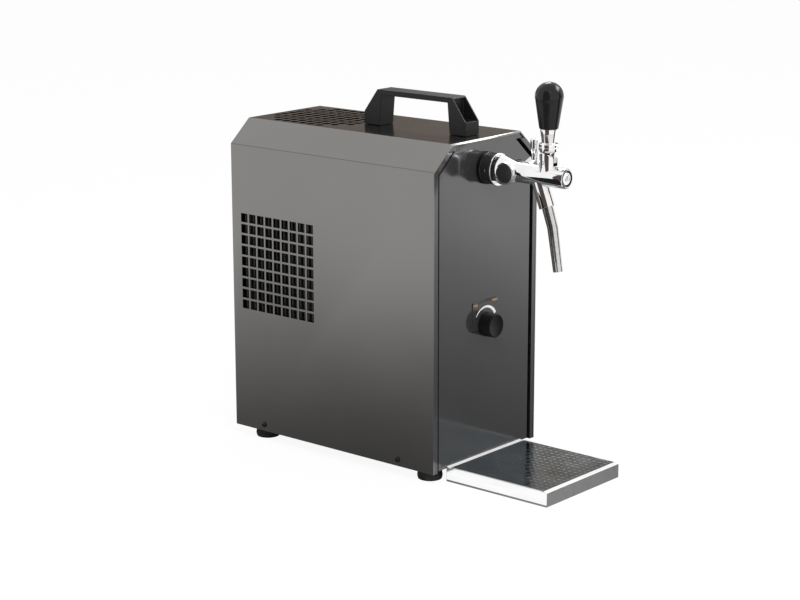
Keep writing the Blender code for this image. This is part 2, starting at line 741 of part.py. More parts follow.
def build_outer_cover():
    sheet_path = rounded(skin_path(), COVER_BEND)
    sheet = strip(sheet_path, 0, COVER_SHEET)
    cover = pushed("outer_cover", sheet, "Y", back(0), back(COVER_DEPTH), "cover_steel")
    hems = bmesh.new()
    near = COVER_SHEET - HEM_OVERLAP
    left = side_line(near, COVER_BOTTOM, BAND_Z - SEAT) + list(
        reversed(side_line(HEM_THICKNESS, COVER_BOTTOM, BAND_Z - SEAT)))
    for sign in (1, -1):
        outline = [(sign * x, z) for x, z in left]
        add_prism(hems, outline, "Y", back(SEAT), back(HEM_DEPTH))
    boolean(cover, hems, "UNION")
    side_vents = bmesh.new()
    half = SIDE_VENT_HOLE / 2
    middle = (SIDE_VENT_COUNT - 1) / 2
    reach = HALF_WIDTH + OVERRUN
    for column in range(SIDE_VENT_COUNT):
        depth = FAN_DEPTH + (column - middle) * SIDE_VENT_PITCH
        for row in range(SIDE_VENT_COUNT):
            height = FAN_Z + (row - middle) * SIDE_VENT_PITCH
            add_box(side_vents, (-reach, reach), (back(depth - half), back(depth + half)),
                    (height - half, height + half))
    boolean(cover, side_vents)
    top_vents = bmesh.new()
    across = (TOP_VENT_COLUMNS - 1) / 2
    through = (COVER_TOP - COVER_SHEET - OVERRUN, COVER_TOP + OVERRUN)
    for column in range(TOP_VENT_COLUMNS):
        for row in range(TOP_VENT_ROWS):
            from_side = min(column, TOP_VENT_COLUMNS - 1 - column)
            from_end = min(row, TOP_VENT_ROWS - 1 - row)
            if from_side + from_end < TOP_VENT_CORNER:
                continue
            x = (column - across) * TOP_VENT_PITCH
            depth = COVER_DEPTH - TOP_VENT_REAR_MARGIN - row * TOP_VENT_PITCH
            add_cylinder(top_vents, TOP_VENT_RADIUS, "Z", (x, back(depth)), *through, TOP_VENT_SIDES)
    for depth in handle_bolt_depths():
        add_cylinder(top_vents, BOLT_RADIUS + SEAT, "Z", (0, back(depth)), *through, SMALL_SIDES)
    boolean(cover, top_vents)
    screw_holes = bmesh.new()
    for depth in screw_depths():
        add_cylinder(screw_holes, SCREW_RADIUS + SEAT, "X", (back(depth), SCREW_Z), -reach, reach,
                     SMALL_SIDES)
    boolean(cover, screw_holes)


def build_front_panel():
    inset = HEM_THICKNESS + PANEL_GAP
    clear = COVER_SHEET + SEAT
    outline = side_line(inset, PANEL_BOTTOM, BAND_Z)
    outline += [chamfer_point(clear, BAND_Z), skin_corners(clear)[1]]
    panel = pushed("front_panel", mirrored([tuple(p) for p in outline]), "Y",
                   back(PANEL_FRONT), back(PANEL_BACK), "panel_steel")
    flanges = bmesh.new()
    path = side_line(inset, PANEL_BOTTOM, BAND_Z)
    rim = [(-x, z) for x, z in reversed(path)] + [tuple(p) for p in path]
    rim_strip = rim + [tuple(p) for p in reversed(offset_path(rim, PANEL_SHEET))]
    rim_strip = [(-x, z) for x, z in rim_strip]
    add_prism(flanges, rim_strip, "Y", back(PANEL_BACK - FUSE), back(FLANGE_END))
    boolean(panel, flanges, "UNION")
    top_flange = bmesh.new()
    corner = skin_corners(clear)[1]
    add_box(top_flange, (corner.x, -corner.x), (back(PANEL_BACK - FUSE), back(FLANGE_END)),
            (corner.y - PANEL_SHEET, corner.y))
    boolean(panel, top_flange, "UNION")
    through = (back(-OVERRUN), back(FLANGE_END))
    cut_round(panel, bore(SHANK_RADIUS, MIDDLE_SIDES, SEAT), "Y", (0, TAP_Z), *through, MIDDLE_SIDES)
    cut_round(panel, KNOB_STEM_RADIUS + SWING, "Y", (0, KNOB_Z), *through)


def build_front_seal():
    """Foam strip that closes the shadow gap behind the cover's hem."""
    near = HEM_THICKNESS + PANEL_GAP - SEAT
    far = COVER_SHEET + SEAT
    top = skin_corners(far + PANEL_SHEET + SEAT)[1].y
    outer = mirrored(side_line(far, PANEL_BOTTOM, top))
    inner = mirrored(side_line(near, PANEL_BOTTOM, BAND_Z + SEAT))
    start = HEM_DEPTH + SEAT
    outline = [tuple(p) for p in outer + list(reversed(inner))]
    pushed("front_seal", outline, "Y", back(start), back(start + SEAL_DEPTH), "rubber")


def build_base_pan():
    pan = bmesh.new()
    front = FLANGE_END + SEAT
    rear = REAR_BACK - SEAT
    add_box(pan, (-INNER_X, INNER_X), (back(front), back(rear)), (BASE_BOTTOM, BASE_TOP))
    pan = finish_object("base_pan", pan, "zinc_sheet")
    hollow = bmesh.new()
    inner = INNER_X - BASE_SHEET
    add_box(hollow, (-inner, inner), (back(front + BASE_SHEET), back(rear - BASE_SHEET)),
            (BASE_FLOOR, BASE_TOP + OVERRUN))
    boolean(pan, hollow)
    holes = bmesh.new()
    for depth in screw_depths():
        add_cylinder(holes, SCREW_RADIUS + SEAT, "X", (back(depth), SCREW_Z), -HALF_WIDTH, HALF_WIDTH,
                     SMALL_SIDES)
    for x, depth in foot_places().values():
        add_cylinder(holes, FOOT_STUD_RADIUS + SEAT, "Z", (x, back(depth)), COVER_BOTTOM,
                     BASE_FLOOR + OVERRUN, SMALL_SIDES)
    boolean(pan, holes)


def build_rear_panel():
    inset = COVER_SHEET + SEAT
    low, high = skin_corners(inset)
    outline = [(low.x, PANEL_BOTTOM), tuple(low), tuple(high)]
    panel = pushed("rear_panel", mirrored(outline), "Y", back(REAR_BACK), back(REAR_FACE), "cover_steel")
    path = mirrored([(low.x, BASE_TOP + SEAT), tuple(low), tuple(high)])
    flange = bmesh.new()
    add_prism(flange, [tuple(p) for p in strip(path, 0, REAR_SHEET)], "Y", back(REAR_BACK - REAR_FLANGE),
              back(REAR_BACK + FUSE))
    boolean(panel, flange, "UNION")
    cutters = bmesh.new()
    through = (back(REAR_BACK - OVERRUN), back(REAR_FACE + OVERRUN))
    for row in range(REAR_SLOT_COUNT):
        height = REAR_SLOT_Z + row * REAR_SLOT_PITCH
        add_box(cutters, (-REAR_SLOT_LENGTH / 2, REAR_SLOT_LENGTH / 2), through,
                (height, height + REAR_SLOT_WIDTH))
    socket_x = (SOCKET_X - SOCKET_WIDTH / 2 - SEAT, SOCKET_X + SOCKET_WIDTH / 2 + SEAT)
    socket_half = SOCKET_HEIGHT / 2 + SEAT
    add_box(cutters, socket_x, through, (POWER_Z - socket_half, POWER_Z + socket_half))
    switch_x = (SWITCH_X - SWITCH_WIDTH / 2 - SEAT, SWITCH_X + SWITCH_WIDTH / 2 + SEAT)
    switch_half = SWITCH_HEIGHT / 2 + SEAT
    add_box(cutters, switch_x, through, (POWER_Z - switch_half, POWER_Z + switch_half))
    add_cylinder(cutters, bore(INLET_RADIUS, MIDDLE_SIDES, SEAT), "Y", (INLET_X, INLET_Z), *through,
                 MIDDLE_SIDES)
    boolean(panel, cutters)


def foot_places():
    rear = COVER_DEPTH - FOOT_REAR_INSET
    return {
        "foot_front_left": (-FOOT_X, FOOT_FRONT_DEPTH),
        "foot_front_right": (FOOT_X, FOOT_FRONT_DEPTH),
        "foot_rear_left": (-FOOT_X, rear),
        "foot_rear_right": (FOOT_X, rear),
    }


def build_feet():
    seat = BASE_BOTTOM - SEAT
    stud_top = BASE_BOTTOM + BASE_SHEET * FOOT_STUD_SHARE
    profile = [(0, 0), (FOOT_BASE_RADIUS, 0), (FOOT_RADIUS, FOOT_BELLY), (FOOT_TOP_RADIUS, seat),
               (FOOT_STUD_RADIUS, seat), (FOOT_STUD_RADIUS, stud_top), (0, stud_top)]
    for name, (x, depth) in foot_places().items():
        turned(name, profile, "Z", (x, back(depth)), "rubber")


def build_cover_screws():
    names = {(-1, 0): "cover_screw_front_left", (-1, 1): "cover_screw_rear_left",
             (1, 0): "cover_screw_front_right", (1, 1): "cover_screw_rear_right"}
    seat = HALF_WIDTH + SEAT
    crown = seat + SCREW_HEAD_HEIGHT
    shoulder = seat + SCREW_HEAD_HEIGHT / 2
    for (sign, place), name in names.items():
        profile = [(0, crown), (SCREW_RADIUS, crown), (SCREW_HEAD_RADIUS, shoulder),
                   (SCREW_HEAD_RADIUS, seat), (SCREW_RADIUS, seat), (SCREW_RADIUS, seat - SCREW_REACH),
                   (0, seat - SCREW_REACH)]
        profile = [(radius, sign * x) for radius, x in profile]
        turned(name, profile, "X", (back(screw_depths()[place]), SCREW_Z), "black_screw", SMALL_SIDES)


def build_carry_handle():
    """Plastic bridge handle with hollow ends under sloped faces."""
    front = HANDLE_FRONT_DEPTH
    rear = front + HANDLE_LENGTH
    knee = HANDLE_BASE + HANDLE_UPRIGHT
    top = COVER_TOP + HANDLE_RISE
    window_top = top - HANDLE_BAR
    window_run = HANDLE_LEG + HANDLE_LEG_TAPER
    shape = [(front, HANDLE_BASE), (front, knee), (front + HANDLE_SLOPE_RUN, top),
             (rear - HANDLE_SLOPE_RUN, top), (rear, knee), (rear, HANDLE_BASE),
             (rear - HANDLE_LEG, HANDLE_BASE), (rear - window_run, window_top),
             (front + window_run, window_top), (front + HANDLE_LEG, HANDLE_BASE)]
    outline = [(back(depth), z) for depth, z in shape]
    handle = pushed("carry_handle", outline, "X", -HANDLE_WIDTH / 2, HANDLE_WIDTH / 2, "black_plastic")
    wall = HANDLE_POCKET_WALL
    slope = (top - knee) / HANDLE_SLOPE_RUN
    inner = HANDLE_LEG - wall
    ceiling = top - wall
    mouth = (ceiling - knee) / slope
    pocket = [(-OVERRUN, knee), (inner, knee), (inner, ceiling), (mouth, ceiling),
              (mouth - OVERRUN, ceiling + OVERRUN), (-OVERRUN, ceiling + OVERRUN)]
    pockets = bmesh.new()
    half = HANDLE_WIDTH / 2 - wall
    add_prism(pockets, [(back(front + depth), z) for depth, z in pocket], "X", -half, half)
    add_prism(pockets, [(back(rear - depth), z) for depth, z in pocket], "X", -half, half)
    boolean(handle, pockets)
    bolt_holes = bmesh.new()
    tip = HANDLE_BASE + BOLT_REACH + SEAT
    for depth in handle_bolt_depths():
        add_cylinder(bolt_holes, bore(BOLT_RADIUS, SMALL_SIDES, SEAT), "Z", (0, back(depth)),
                     COVER_TOP - OVERRUN, tip, SMALL_SIDES)
    boolean(handle, bolt_holes)


def build_handle_bolts():
    seat = COVER_TOP - COVER_SHEET - SEAT
    head = seat - BOLT_HEAD_HEIGHT
    tip = HANDLE_BASE + BOLT_REACH
    profile = [(0, head), (BOLT_HEAD_RADIUS, head), (BOLT_HEAD_RADIUS, seat), (BOLT_RADIUS, seat),
               (BOLT_RADIUS, tip), (0, tip)]
    for name, depth in zip(("handle_bolt_front", "handle_bolt_rear"), handle_bolt_depths()):
        turned(name, profile, "Z", (0, back(depth)), "zinc_sheet", SMALL_SIDES)


# Tap

def out_profile(profile):
    """Turn radius and distance out from the panel into radius and world Y."""
    return [(radius, ahead(distance)) for radius, distance in profile]


def build_shank():
    centre = (0, TAP_Z)
    shank = [(SHANK_BORE, -SHANK_TAIL), (SHANK_RADIUS, -SHANK_TAIL), (SHANK_RADIUS, SHANK_REACH),
             (SHANK_BORE, SHANK_REACH)]
    turned("tap_shank", out_profile(shank), "Y", centre, "stainless", closed=True)
    hole = bore(SHANK_RADIUS, MIDDLE_SIDES, SEAT)
    start = SEAT - PANEL_RECESS
    flange_end = start + COLLAR_FLANGE
    collar = [(hole, start), (COLLAR_FLANGE_RADIUS, start), (COLLAR_FLANGE_RADIUS, flange_end),
              (COLLAR_RADIUS, flange_end), (COLLAR_RADIUS, COLLAR_END), (hole, COLLAR_END)]
    collar = turned("panel_collar", out_profile(collar), "Y", centre, "gloss_black", closed=True)
    screw_centre = (ahead(SET_SCREW_OUT), TAP_Z)
    deep = COLLAR_RADIUS - SET_SCREW_DEPTH
    cut_round(collar, bore(SET_SCREW_RADIUS, SMALL_SIDES, SEAT), "X", screw_centre,
              -COLLAR_FLANGE_RADIUS, -deep)
    proud = COLLAR_RADIUS + SET_SCREW_PROUD
    screw = [(0, -proud), (SET_SCREW_RADIUS, -proud), (SET_SCREW_RADIUS, -deep - SEAT), (0, -deep - SEAT)]
    turned("collar_set_screw", screw, "X", screw_centre, "chrome", SMALL_SIDES)
    nut_start = PANEL_BACK + SEAT
    mesh = bmesh.new()
    nut_end = nut_start + SHANK_NUT_LENGTH
    add_cylinder(mesh, SHANK_NUT_RADIUS, "Y", centre, back(nut_start), back(nut_end), HEX_SIDES)
    nut = finish_object("shank_nut", mesh, "zinc_sheet")
    cut_round(nut, hole, "Y", centre, back(nut_start - OVERRUN), back(nut_end + OVERRUN), MIDDLE_SIDES)


def build_coupling_nut():
    hole = bore(SHANK_RADIUS, LARGE_SIDES, SEAT)
    rim_end = COUPLING_START + COUPLING_RIM
    profile = [(hole, COUPLING_START), (COUPLING_RIM_RADIUS, COUPLING_START),
               (COUPLING_RIM_RADIUS, rim_end), (COUPLING_RADIUS, rim_end),
               (COUPLING_RADIUS, COUPLING_END), (hole, COUPLING_END)]
    turned("coupling_nut", out_profile(profile), "Y", (0, TAP_Z), "chrome", LARGE_SIDES, closed=True)


def build_tap_body():
    centre = (0, TAP_Z)
    shoulder_start = COUPLING_END + SEAT
    outside = [(0, BODY_START), (SHANK_RADIUS, BODY_START), (SHANK_RADIUS, shoulder_start),
               (SHOULDER_RADIUS, shoulder_start), (BARREL_RADIUS, SHOULDER_END),
               (BARREL_RADIUS, BARREL_REACH - NOSE_CHAMFER), (BARREL_RADIUS - NOSE_CHAMFER, BARREL_REACH),
               (0, BARREL_REACH)]
    body = turned("tap_body", out_profile(outside), "Y", centre, "chrome", LARGE_SIDES)
    cross = bmesh.new()
    cross_centre = (ahead(CROSS_OUT), CROSS_Z)
    add_cylinder(cross, CROSS_RADIUS, "X", cross_centre, -CROSS_HALF, CROSS_HALF, LARGE_SIDES)
    boolean(body, cross, "UNION")
    knuckle = bmesh.new()
    top = PIVOT_Z + KNUCKLE_DOME
    add_cylinder(knuckle, KNUCKLE_RADIUS, "Z", (0, ahead(LEVER_OUT)), TAP_Z, top, LARGE_SIDES)
    boolean(body, knuckle, "UNION")
    dome = bmesh.new()
    block = KNUCKLE_RADIUS + OVERRUN
    arc = []
    for step in range(SMALL_SIDES + 1):
        turn = math.pi * step / SMALL_SIDES
        arc.append((ahead(LEVER_OUT + KNUCKLE_DOME * math.cos(turn)),
                    PIVOT_Z + KNUCKLE_DOME * math.sin(turn)))
    above = top + OVERRUN
    hood = arc + [(ahead(LEVER_OUT - KNUCKLE_DOME), above), (ahead(LEVER_OUT + KNUCKLE_DOME), above)]
    add_prism(dome, hood, "X", -block, block)
    boolean(body, dome)
    mouth = BARREL_REACH + OVERRUN
    rear_end = BODY_START - OVERRUN
    bores = [(0, mouth), (VALVE_BORE, mouth), (VALVE_BORE, VALVE_BORE_START),
             (SHANK_BORE, VALVE_BORE_START), (SHANK_BORE, rear_end), (0, rear_end)]
    inside = bmesh.new()
    add_lathe(inside, out_profile(bores), "Y", centre)
    boolean(body, inside)
    slot_half = TONGUE_HALF + SWING
    step_z = TAP_Z + BARREL_RADIUS + SEAT
    right = [(BARREL_SLOT_HALF, TAP_Z), (BARREL_SLOT_HALF, step_z), (block, step_z), (block, above)]
    slot_outline = [(ahead(LEVER_OUT + y), z) for y, z in right]
    slot_outline += [(ahead(LEVER_OUT - y), z) for y, z in reversed(right)]
    slot = bmesh.new()
    add_prism(slot, slot_outline, "X", -slot_half, slot_half)
    boolean(body, slot)
    cut_round(body, bore(PIN_RADIUS, SMALL_SIDES, SEAT), "X", (ahead(LEVER_OUT), PIVOT_Z), -block, block)
    cut_round(body, bore(CAP_RADIUS, MIDDLE_SIDES, SEAT), "X", cross_centre,
              -CROSS_HALF - OVERRUN, -CROSS_HALF + CAP_DEPTH, MIDDLE_SIDES)
    cut_round(body, bore(COMP_SHAFT_RADIUS, SMALL_SIDES), "X", cross_centre, 0, CROSS_HALF + OVERRUN)
    spout_hole = bmesh.new()
    add_tube(spout_hole, spout_axis()[:2], (SPOUT_HOLE, SPOUT_HOLE))
    boolean(body, spout_hole)


def build_tap_trim():
    cross_centre = (ahead(CROSS_OUT), CROSS_Z)
    cap_back = -CROSS_HALF + CAP_DEPTH - SEAT
    cap_face = -CROSS_HALF - CAP_PROUD
    bevel = CAP_PROUD / 2
    cap = [(0, cap_back), (CAP_RADIUS, cap_back), (CAP_RADIUS, cap_face + bevel),
           (CAP_RADIUS - bevel, cap_face), (0, cap_face)]
    turned("body_cap", cap, "X", cross_centre, "gloss_black")
    plug_face = BARREL_REACH - NOSE_PLUG_RECESS
    radius = VALVE_BORE * math.cos(math.pi / MIDDLE_SIDES) - SEAT
    mesh = bmesh.new()
    add_cylinder(mesh, radius, "Y", (0, TAP_Z), ahead(plug_face), ahead(plug_face - NOSE_PLUG_LENGTH),
                 MIDDLE_SIDES)
    plug = finish_object("nose_plug", mesh, "chrome", smooth=True)
    cut_round(plug, SOCKET_RADIUS, "Y", (0, TAP_Z), ahead(plug_face + OVERRUN),
              ahead(plug_face - SOCKET_DEPTH), HEX_SIDES)
    half = math.sqrt(KNUCKLE_RADIUS ** 2 - PIN_RADIUS ** 2) - PIN_SHORT
    pin = [(0, -half), (PIN_RADIUS, -half), (PIN_RADIUS, half), (0, half)]
    turned("lever_pin", pin, "X", (ahead(LEVER_OUT), PIVOT_Z), "stainless", SMALL_SIDES)


def build_tap_lever():
    """Slotted lever: a tongue through the knuckle, a ring nut, a ferrule and a stud."""
    pivot = (0, ahead(LEVER_OUT), PIVOT_Z)
    centre = (0, ahead(LEVER_OUT))
    ferrule_top = FERRULE_Z + FERRULE
    stud_top = ferrule_top + STUD_LENGTH
    flat = LEVER_RING_RADIUS - RING_CHAMFER
    profile = [(0, RING_Z), (flat, RING_Z), (LEVER_RING_RADIUS, RING_Z + RING_CHAMFER),
               (LEVER_RING_RADIUS, FERRULE_Z - RING_CHAMFER), (flat, FERRULE_Z),
               (FERRULE_BOTTOM_RADIUS, FERRULE_Z), (FERRULE_TOP_RADIUS, ferrule_top),
               (STUD_RADIUS, ferrule_top), (STUD_RADIUS, stud_top), (0, stud_top)]
    lever = turned("tap_lever", profile, "Z", centre, "chrome", LARGE_SIDES, origin=pivot)
    tongue = bmesh.new()
    waist = TAP_Z + VALVE_BORE
    tip = PIVOT_Z - TAIL_DROP
    shape = [(TONGUE_DEPTH / 2, RING_Z + FUSE), (TONGUE_DEPTH / 2, waist),
             (TAIL_DEPTH / 2, waist - TAIL_DEPTH / 2), (TAIL_DEPTH / 2, tip)]
    outline = [(ahead(LEVER_OUT + y), z) for y, z in shape]
    outline += [(ahead(LEVER_OUT - y), z) for y, z in reversed(shape)]
    add_prism(tongue, outline, "X", -TONGUE_HALF, TONGUE_HALF)
    boolean(lever, tongue, "UNION")
    cut_round(lever, bore(PIN_RADIUS, SMALL_SIDES), "X", (ahead(LEVER_OUT), PIVOT_Z), -TONGUE_HALF - OVERRUN,
              TONGUE_HALF + OVERRUN)


def build_tap_handle():
    """Black pear-shaped grip screwed on the lever's stud."""
    pivot = (0, ahead(LEVER_OUT), PIVOT_Z)
    widest = GRIP_Z + GRIP_STRAIGHT
    hole = bore(STUD_RADIUS, SMALL_SIDES, SEAT)
    hole_top = FERRULE_Z + FERRULE + STUD_LENGTH + SEAT
    profile = [(0, hole_top), (hole, hole_top), (hole, GRIP_Z), (GRIP_BOTTOM_RADIUS, GRIP_Z)]
    for step in range(GRIP_DOME_STEPS + 1):
        turn = math.pi / 2 * step / GRIP_DOME_STEPS
        radius = 0 if step == GRIP_DOME_STEPS else GRIP_RADIUS * math.cos(turn)
        profile.append((radius, widest + GRIP_RADIUS * math.sin(turn)))
    turned("tap_handle", profile, "Z", (0, ahead(LEVER_OUT)), "gloss_black", LARGE_SIDES, origin=pivot)


def build_valve():
    """Spindle that the lever's tail pushes, and the compensator's cone."""
    seal_end = SEAL_START + SEAL_LENGTH
    centre = (0, TAP_Z)
    middle = (SEAL_START + SPINDLE_END) / 2
    seal_radius = VALVE_BORE * math.cos(math.pi / MIDDLE_SIDES) - RUNNING
    profile = [(0, SEAL_START), (seal_radius, SEAL_START), (seal_radius, seal_end),
               (SPINDLE_RADIUS, seal_end), (SPINDLE_RADIUS, SPINDLE_END), (0, SPINDLE_END)]
    spindle = turned("valve_spindle", out_profile(profile), "Y", centre, "stainless",
                     origin=(0, ahead(middle), TAP_Z))
    groove = bmesh.new()
    low = PIVOT_Z - TAIL_DROP - SWING
    past = SPINDLE_RADIUS + OVERRUN
    add_box(groove, (-past, past), (ahead(LEVER_OUT + GROOVE_HALF), ahead(LEVER_OUT - GROOVE_HALF)),
            (low, TAP_Z + past))
    boolean(spindle, groove)
    cone_end = CONE_START + CONE_LENGTH
    guide = SHANK_BORE * math.cos(math.pi / MIDDLE_SIDES) - RUNNING
    cone = [(0, CONE_START), (CONE_TIP_RADIUS, CONE_START), (guide, cone_end - CONE_GUIDE), (guide, cone_end),
            (0, cone_end)]
    turned("compensator_cone", out_profile(cone), "Y", centre, "white_plastic",
           origin=(0, ahead((CONE_START + cone_end) / 2), TAP_Z))


def build_compensator_lever():
    """Flow lever on the right side of the tap: hub, arm and upright tab."""
    pivot = (0, ahead(CROSS_OUT), CROSS_Z)
    inner = CROSS_HALF + SEAT
    outer = inner + COMP_PLATE
    shaft_end = SHANK_BORE + SWING
    profile = [(0, shaft_end), (COMP_SHAFT_RADIUS, shaft_end), (COMP_SHAFT_RADIUS, inner),
               (COMP_HUB_RADIUS, inner), (COMP_HUB_RADIUS, outer), (0, outer)]
    lever = turned("compensator_lever", profile, "X", pivot[1:], "chrome", origin=pivot)
    foot_y = ahead(CROSS_OUT + COMP_ARM_OUT)
    foot_z = CROSS_Z + COMP_ARM_RISE
    run = Vector((foot_y - pivot[1], foot_z - CROSS_Z)).normalized()
    side = Vector((run.y, -run.x)) * (COMP_ARM_WIDTH / 2)
    start = Vector((pivot[1], CROSS_Z))
    end = Vector((foot_y, foot_z))
    arm = bmesh.new()
    outline = [tuple(start + side), tuple(end + side), tuple(end - side), tuple(start - side)]
    add_prism(arm, outline, "X", inner, outer)
    boolean(lever, arm, "UNION")
    post = bmesh.new()
    waist = foot_z + COMP_TAB_WAIST_RISE
    base = foot_z - COMP_TAB_RADIUS
    top = foot_z + COMP_TAB_HEIGHT
    shape = [(0, base), (COMP_TAB_WAIST, base), (COMP_TAB_RADIUS, foot_z), (COMP_TAB_WAIST, waist),
             (COMP_TAB_RADIUS, waist + COMP_TAB_RADIUS), (COMP_TAB_RADIUS, top - COMP_TAB_WAIST / 2),
             (COMP_TAB_WAIST, top), (0, top)]
    add_lathe(post, shape, "Z", (inner + COMP_TAB_RADIUS, foot_y), SMALL_SIDES)
    boolean(lever, post, "UNION")


def spout_axis():
    """Points of the spout's centre line, from inside the barrel down to its mouth."""
    point = Vector((0, ahead(SPOUT_OUT), TAP_Z - SPOUT_TOP_DROP))
    line = [point]
    for lean, length in ((SLEEVE_LEAN, SLEEVE_LENGTH), (SPOUT_BEND_LEAN, SPOUT_BEND_LENGTH),
                         (SPOUT_END_LEAN, SPOUT_END_LENGTH)):
        point = point + Vector((0, -math.sin(lean), -math.cos(lean))) * length
        line.append(point)
    return line


def build_spout():
    """Sleeve and tube, both cut off where they meet the barrel."""
    line = spout_axis()
    sleeve_mesh = bmesh.new()
    bore_wall = SLEEVE_RADIUS - bore(SPOUT_TOP_RADIUS, MIDDLE_SIDES, SEAT)
    add_tube(sleeve_mesh, line[:2], (SLEEVE_RADIUS, SLEEVE_RADIUS), MIDDLE_SIDES, bore_wall)
    sleeve = finish_object("spout_sleeve", sleeve_mesh, "chrome", smooth=True)
    tube_mesh = bmesh.new()
    taper = SPOUT_END_RADIUS - SPOUT_TOP_RADIUS
    radii = [SPOUT_TOP_RADIUS + taper * share for share in SPOUT_TAPER_SHARES]
    add_tube(tube_mesh, line, radii, MIDDLE_SIDES, SPOUT_WALL)
    tube = finish_object("spout_tube", tube_mesh, "stainless", smooth=True)
    seat_radius = bore(BARREL_RADIUS, LARGE_SIDES, SEAT)
    for piece in (sleeve, tube):
        cut_round(piece, seat_radius, "Y", (0, TAP_Z), ahead(BARREL_REACH + OVERRUN), ahead(SHOULDER_END),
                  LARGE_SIDES)


# Thermostat

def build_thermostat():
    half = SCALE_WIDTH / 2
    corners = rectangle(-half, half, KNOB_Z - SCALE_BELOW, KNOB_Z + SCALE_ABOVE)
    outline = [tuple(p) for p in rounded(corners, SCALE_CORNER, closed=True)]
    plate = pushed("scale_plate", outline, "Y", ahead(SCALE_FRONT), back(PANEL_FRONT - SEAT), "gloss_black")
    cut_round(plate, KNOB_STEM_RADIUS + SWING, "Y", (0, KNOB_Z), ahead(SCALE_FRONT + OVERRUN),
              back(PANEL_FRONT + OVERRUN))
    start = SCALE_FRONT + SEAT
    end = start + KNOB_LENGTH
    flat = KNOB_FRONT_RADIUS - KNOB_BEVEL
    knob = [(0, -KNOB_STEM_DEPTH), (KNOB_STEM_RADIUS, -KNOB_STEM_DEPTH), (KNOB_STEM_RADIUS, start),
            (KNOB_RADIUS, start), (KNOB_FRONT_RADIUS, end - KNOB_BEVEL), (flat, end), (0, end)]
    turned("thermostat_knob", out_profile(knob), "Y", (0, KNOB_Z), "black_plastic", LARGE_SIDES,
           origin=(0, ahead(start), KNOB_Z))
    body = bmesh.new()
    half = THERMOSTAT_SIZE / 2
    near = PANEL_BACK + SEAT
    add_box(body, (-half, half), (back(near), back(near + THERMOSTAT_DEPTH)), (KNOB_Z - half, KNOB_Z + half))
    body = finish_object("thermostat_body", body, "white_plastic")
    cut_round(body, bore(KNOB_STEM_RADIUS, SMALL_SIDES), "Y", (0, KNOB_Z), back(near - OVERRUN),
              back(KNOB_STEM_DEPTH + SEAT))


# Cooling

def build_cooler():
    front = BOX_FRONT_DEPTH
    rear = BOX_BACK_DEPTH
    box = bmesh.new()
    add_box(box, (-BOX_HALF_WIDTH, BOX_HALF_WIDTH), (back(front), back(rear)), (BOX_BASE, BOX_TOP))
    box = finish_object("insulation_box", box, "foam")
    inner = BOX_HALF_WIDTH - BOX_WALL
    hollow = bmesh.new()
    add_box(hollow, (-inner, inner), (back(front + BOX_WALL), back(rear - BOX_WALL)),
            (BOX_BASE + BOX_WALL, BOX_TOP + OVERRUN))
    boolean(box, hollow)
    block = bmesh.new()
    wall = BOX_WALL + SEAT
    add_box(block, (-inner + SEAT, inner - SEAT), (back(front + wall), back(rear - wall)),
            (BOX_BASE + wall, BLOCK_TOP))
    finish_object("cooling_block", block, "aluminium")
    lid = bmesh.new()
    low = BOX_TOP + SEAT
    high = low + LID_HEIGHT
    add_box(lid, (-BOX_HALF_WIDTH, BOX_HALF_WIDTH), (back(front), back(rear)), (low, high))
    lid = finish_object("insulation_lid", lid, "foam")
    holes = bmesh.new()
    ports = ((0, BEER_OUT_DEPTH), (INLET_X, REAR_PORT_DEPTH), (SUCTION_X, REAR_PORT_DEPTH),
             (LIQUID_X, REAR_PORT_DEPTH))
    for x, depth in ports:
        add_cylinder(holes, TUBE_HOLE_RADIUS, "Z", (x, back(depth)), low - OVERRUN, high + OVERRUN,
                     SMALL_SIDES)
    boolean(lid, holes)


def build_compressor():
    y = back(COMPRESSOR_DEPTH)
    plate_top = COMPRESSOR_BASE + COMPRESSOR_PLATE
    skirt_top = plate_top + COMPRESSOR_SKIRT
    shell_top = plate_top + COMPRESSOR_SHELL
    profile = [(0, COMPRESSOR_BASE + FUSE), (COMPRESSOR_RADIUS - COMPRESSOR_SKIRT, COMPRESSOR_BASE + FUSE),
               (COMPRESSOR_RADIUS - COMPRESSOR_SKIRT, plate_top), (COMPRESSOR_RADIUS, skirt_top)]
    dome_steps = BEND_STEPS + 1
    for step in range(dome_steps + 1):
        turn = math.pi / 2 * step / dome_steps
        radius = 0 if step == dome_steps else COMPRESSOR_RADIUS * math.cos(turn)
        profile.append((radius, shell_top + COMPRESSOR_DOME * math.sin(turn)))
    shell = turned("compressor", profile, "Z", (0, y), "shell_black", LARGE_SIDES)
    plate = bmesh.new()
    half = COMPRESSOR_PLATE_HALF
    add_box(plate, (-half, half), (y - half, y + half), (COMPRESSOR_BASE, plate_top))
    boolean(shell, plate, "UNION")
    ports = bmesh.new()
    for x, depth in ((SUCTION_X, COMPRESSOR_DEPTH), (DISCHARGE_X, DISCHARGE_DEPTH)):
        add_cylinder(ports, PORT_RADIUS, "Z", (x, back(depth)), shell_top, PORT_Z, SMALL_SIDES)
    boolean(shell, ports, "UNION")
    grommet = [(0, MOUNT_BASE), (MOUNT_RADIUS, MOUNT_BASE), (MOUNT_RADIUS, MOUNT_BASE + MOUNT_HEIGHT),
               (0, MOUNT_BASE + MOUNT_HEIGHT)]
    for side, sign_x in (("left", -1), ("right", 1)):
        for end, sign_y in (("front", -1), ("rear", 1)):
            place = (sign_x * MOUNT_SPACING, y + sign_y * MOUNT_SPACING)
            turned(f"compressor_mount_{end}_{side}", grommet, "Z", place, "rubber", SMALL_SIDES)


